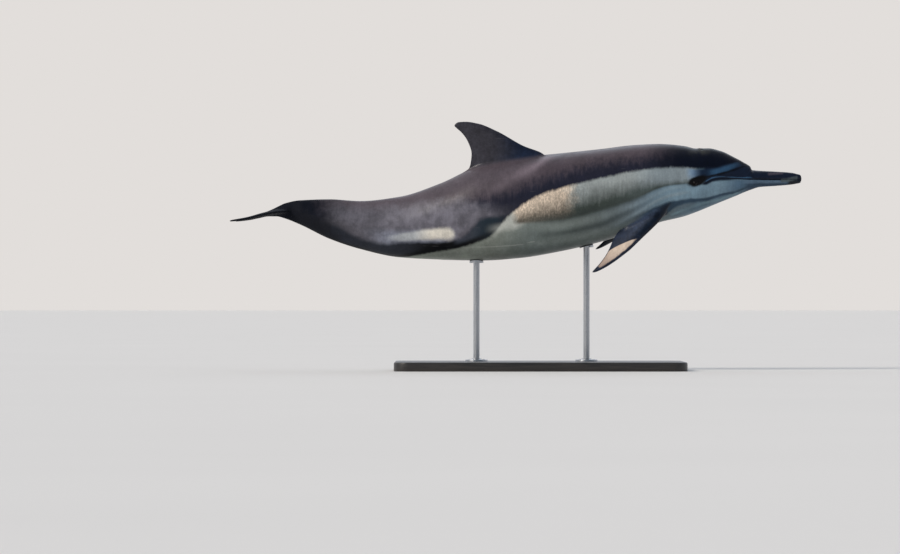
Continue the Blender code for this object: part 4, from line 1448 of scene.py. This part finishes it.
def studio_world(look):
    """Air that is evenly pale to look at, and lights the dolphin more from behind than from the front."""
    world = bpy.data.worlds.new("studio")
    world.use_nodes = True
    tree = world.node_tree
    toward = tree.nodes.new("ShaderNodeSeparateXYZ")
    share = tree.nodes.new("ShaderNodeMapRange")
    share.inputs["From Min"].default_value, share.inputs["From Max"].default_value = AIR_TURN
    light, seen = (tree.nodes.new("ShaderNodeMix") for _ in range(2))
    light.data_type = seen.data_type = "RGBA"
    light.inputs[6].default_value = (*look.front_air, 1.0)
    light.inputs[7].default_value = (*look.back_air, 1.0)
    seen.inputs[7].default_value = (*look.backdrop, 1.0)
    for source, target in (
        (tree.nodes.new("ShaderNodeTexCoord").outputs["Generated"], toward.inputs[0]),
        (toward.outputs["Y"], share.inputs["Value"]),
        (share.outputs[0], light.inputs[0]),
        (tree.nodes.new("ShaderNodeLightPath").outputs["Is Camera Ray"], seen.inputs[0]),
        (light.outputs[2], seen.inputs[6]),
        (seen.outputs[2], tree.nodes["Background"].inputs["Color"]),
    ):
        tree.links.new(source, target)
    return world


def sun(name, direction, strength, colour, softness):
    """A lamp far away, on the side that direction points to."""
    light = bpy.data.lights.new(name, "SUN")
    light.energy = strength
    light.color = colour
    light.angle = math.radians(softness)
    made = bpy.data.objects.new(name, light)
    bpy.context.scene.collection.objects.link(made)
    made.rotation_euler = (-Vector(direction)).to_track_quat("-Z", "Y").to_euler()


# ---------------------------------------------------------------- operators


class DOLPHIN_OT_skin(bpy.types.Operator):
    """Makes the one skin that covers the body and every fin, with its markings"""

    bl_idname = "dolphin.skin"
    bl_label = "Make Skin"

    def execute(self, context):
        look = context.scene.dolphin_skin
        eyes = [eye_ball(side) for side in ("left", "right")]
        body = make_body(look.columns, look.rows, eyes)
        fins = [make_dorsal_fin(), make_flipper("left"), make_flipper("right"), make_flukes()]
        skin = join_skin(body, fins)
        smooth_seams(skin)
        skin.name = skin.data.name = "dolphin_skin"
        mesh = skin.data
        part = part_of_points(mesh)[1]
        flippers = {side: part == number for side, number in FLIPPER_PARTS.items()}
        fields = markings(mesh_points(mesh), flippers)
        for name, values in fields.items():
            attribute = mesh.attributes.new(name, "FLOAT", "POINT")
            attribute.data.foreach_set("value", values.astype(np.float32))
        mesh.polygons.foreach_set("material_index", [0] * len(mesh.polygons))
        mesh.shade_smooth()
        dressed(skin, skin_material(look), "skin", *FLESH)
        return {"FINISHED"}


class DOLPHIN_OT_eyes(bpy.types.Operator):
    """Makes the two eyeballs, each with a slightly raised cornea"""

    bl_idname = "dolphin.eyes"
    bl_label = "Make Eyes"

    def execute(self, context):
        for side, sign in (("left", 1), ("right", -1)):
            centre, radius = eye_ball(side)
            outward = Vector((EYE_FORWARD, sign * math.cos(BANK), sign * math.sin(BANK))).normalized()
            bm = bmesh.new()
            bmesh.ops.create_uvsphere(bm, u_segments=48, v_segments=32, radius=radius)
            turn = Vector((0, 0, 1)).rotation_difference(outward).to_matrix()
            bmesh.ops.rotate(bm, verts=bm.verts, cent=(0, 0, 0), matrix=turn)
            for vertex in bm.verts:
                facing = max(0.0, vertex.co.normalized().dot(outward) - CORNEA_EDGE)
                vertex.co += outward * facing * CORNEA_RISE
            bmesh.ops.translate(bm, verts=bm.verts, vec=Vector(centre))
            material = eye_material(side, tuple(centre), tuple(outward))
            dressed(added("eyeball_" + side, bm), material, "eye", "eye_" + side)
        return {"FINISHED"}


class DOLPHIN_OT_plinth(bpy.types.Operator):
    """Makes the oak plinth with rounded corners and edges"""

    bl_idname = "dolphin.plinth"
    bl_label = "Make Plinth"

    def execute(self, context):
        look = context.scene.dolphin_stand
        low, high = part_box("stand_plinth")
        size = high - low
        bm = bmesh.new()
        bmesh.ops.create_cube(bm, size=1.0)
        bmesh.ops.scale(bm, verts=bm.verts, vec=size)

        def rounded(chosen, offset, segments):
            edges = [edge for edge in bm.edges if chosen(*(v.co.z / size.z for v in edge.verts))]
            bmesh.ops.bevel(
                bm, geom=edges, offset=offset, segments=segments, profile=0.5, affect="EDGES", material=-1
            )

        rounded(lambda a, b: abs(a - b) > 0.5, PLINTH_CORNER, 16)
        rounded(lambda a, b: min(a, b) > 0.4, look.edge_round, 5)
        rounded(lambda a, b: max(a, b) < -0.4, PLINTH_FOOT_EDGE, 2)
        bmesh.ops.translate(bm, verts=bm.verts, vec=(low + high) / 2)
        dressed(added("plinth", bm, sharp=40), oak_material(look), "plinth", "stand_plinth")
        return {"FINISHED"}


class DOLPHIN_OT_rods(bpy.types.Operator):
    """Makes the two steel rods with their feet, screws, cups and rubber pads"""

    bl_idname = "dolphin.rods"
    bl_label = "Make Rods"

    def execute(self, context):
        steel, rubber = steel_material(context.scene.dolphin_stand), pad_material()
        for place in ("front", "rear"):
            low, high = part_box("stand_rod_" + place)
            centre, radius = ((low.x + high.x) / 2, (low.y + high.y) / 2), (high.x - low.x) / 2
            foot_low, foot_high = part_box("stand_foot_" + place)
            top = foot_high.z
            flange = foot_profile((foot_high.x - foot_low.x) / 2, radius + COLLAR, foot_low.z, top)
            dressed(turned("foot_" + place, flange, centre), steel, "steel", "stand_foot_" + place)
            profile = [(0.0, low.z), (radius, low.z), (radius, high.z), (0.0, high.z)]
            dressed(turned("rod_" + place, profile, centre, 64), steel, "steel", "stand_rod_" + place)
            head = [(out, top + height) for out, height in SCREW_HEAD]
            for turn in range(3):
                angle = math.radians(90 + 120 * turn)
                across, along = SCREW_RING * math.cos(angle), SCREW_RING * math.sin(angle)
                spot = (centre[0] + across, centre[1] + along)
                dressed(turned(f"screw_{place}_{turn + 1}", head, spot, 24), steel, "steel")
            cup_low, cup_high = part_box("stand_cup_" + place)
            outer = (cup_high.x - cup_low.x) / 2
            cup = dish("cup_" + place, outer, cup_low.z, centre, 0.0, PAD_BASE)
            dressed(cup, steel, "steel", "stand_cup_" + place)
            pad = dish("pad_" + place, outer - PAD_MARGIN, cup_low.z, centre, PAD_BASE, PAD_TOP)
            dressed(pad, rubber, "steel")
        return {"FINISHED"}


class DOLPHIN_OT_stage(bpy.types.Operator):
    """Makes the pale floor, the soft lights and the camera"""

    bl_idname = "dolphin.stage"
    bl_label = "Make Stage"

    def execute(self, context):
        scene, look = context.scene, context.scene.dolphin_stage
        bm = bmesh.new()
        bmesh.ops.create_circle(bm, cap_ends=True, segments=96, radius=FLOOR_RADIUS)
        floor = added("floor", bm)
        floor.data.materials.append(floor_material(look))

        scene.world = studio_world(look)
        scene.view_settings.view_transform = "Standard"
        sun("key", look.key_from, look.key_power, (1.0, 0.93, 0.84), 22.0)
        sun("rim", (0.1, 0.75, 0.66), 0.3, (0.72, 0.84, 1.0), 40.0)

        lens = bpy.data.cameras.new("camera")
        lens.lens, lens.sensor_width = LENS, SENSOR_WIDTH
        lens.clip_start, lens.clip_end = 1.0, 400.0
        scene.camera = bpy.data.objects.new("camera", lens)
        scene.collection.objects.link(scene.camera)
        scene.camera.location = (look.aim_x, -look.camera_distance, look.camera_height)
        aim = Vector((look.aim_x, 0.0, look.aim_z)) - scene.camera.location
        scene.camera.rotation_euler = aim.to_track_quat("-Z", "Y").to_euler()
        return {"FINISHED"}


class DOLPHIN_PT_panel(bpy.types.Panel):
    """Lists the dolphin's pieces in the sidebar"""

    bl_idname = "DOLPHIN_PT_panel"
    bl_label = "Common Dolphin"
    bl_space_type = "VIEW_3D"
    bl_region_type = "UI"
    bl_category = "Dolphin"

    def draw(self, context):
        for operator in PIECES:
            self.layout.operator(operator.bl_idname)


PIECES = (DOLPHIN_OT_skin, DOLPHIN_OT_eyes, DOLPHIN_OT_plinth, DOLPHIN_OT_rods, DOLPHIN_OT_stage)
SETTINGS = {
    "dolphin_skin": DolphinSkinLook,
    "dolphin_stand": DolphinStandLook,
    "dolphin_stage": DolphinStageLook,
}


def register():
    for kind in (*SETTINGS.values(), *PIECES, DOLPHIN_PT_panel):
        bpy.utils.register_class(kind)
    for name, kind in SETTINGS.items():
        setattr(bpy.types.Scene, name, bpy.props.PointerProperty(type=kind))


def unregister():
    for name in SETTINGS:
        delattr(bpy.types.Scene, name)
    for kind in (DOLPHIN_PT_panel, *reversed(PIECES), *SETTINGS.values()):
        bpy.utils.unregister_class(kind)


def main():
    """Makes every piece."""
    register()
    bpy.ops.dolphin.skin()
    bpy.ops.dolphin.eyes()
    bpy.ops.dolphin.plinth()
    bpy.ops.dolphin.rods()
    bpy.ops.dolphin.stage()


if __name__ == "__main__":
    main()
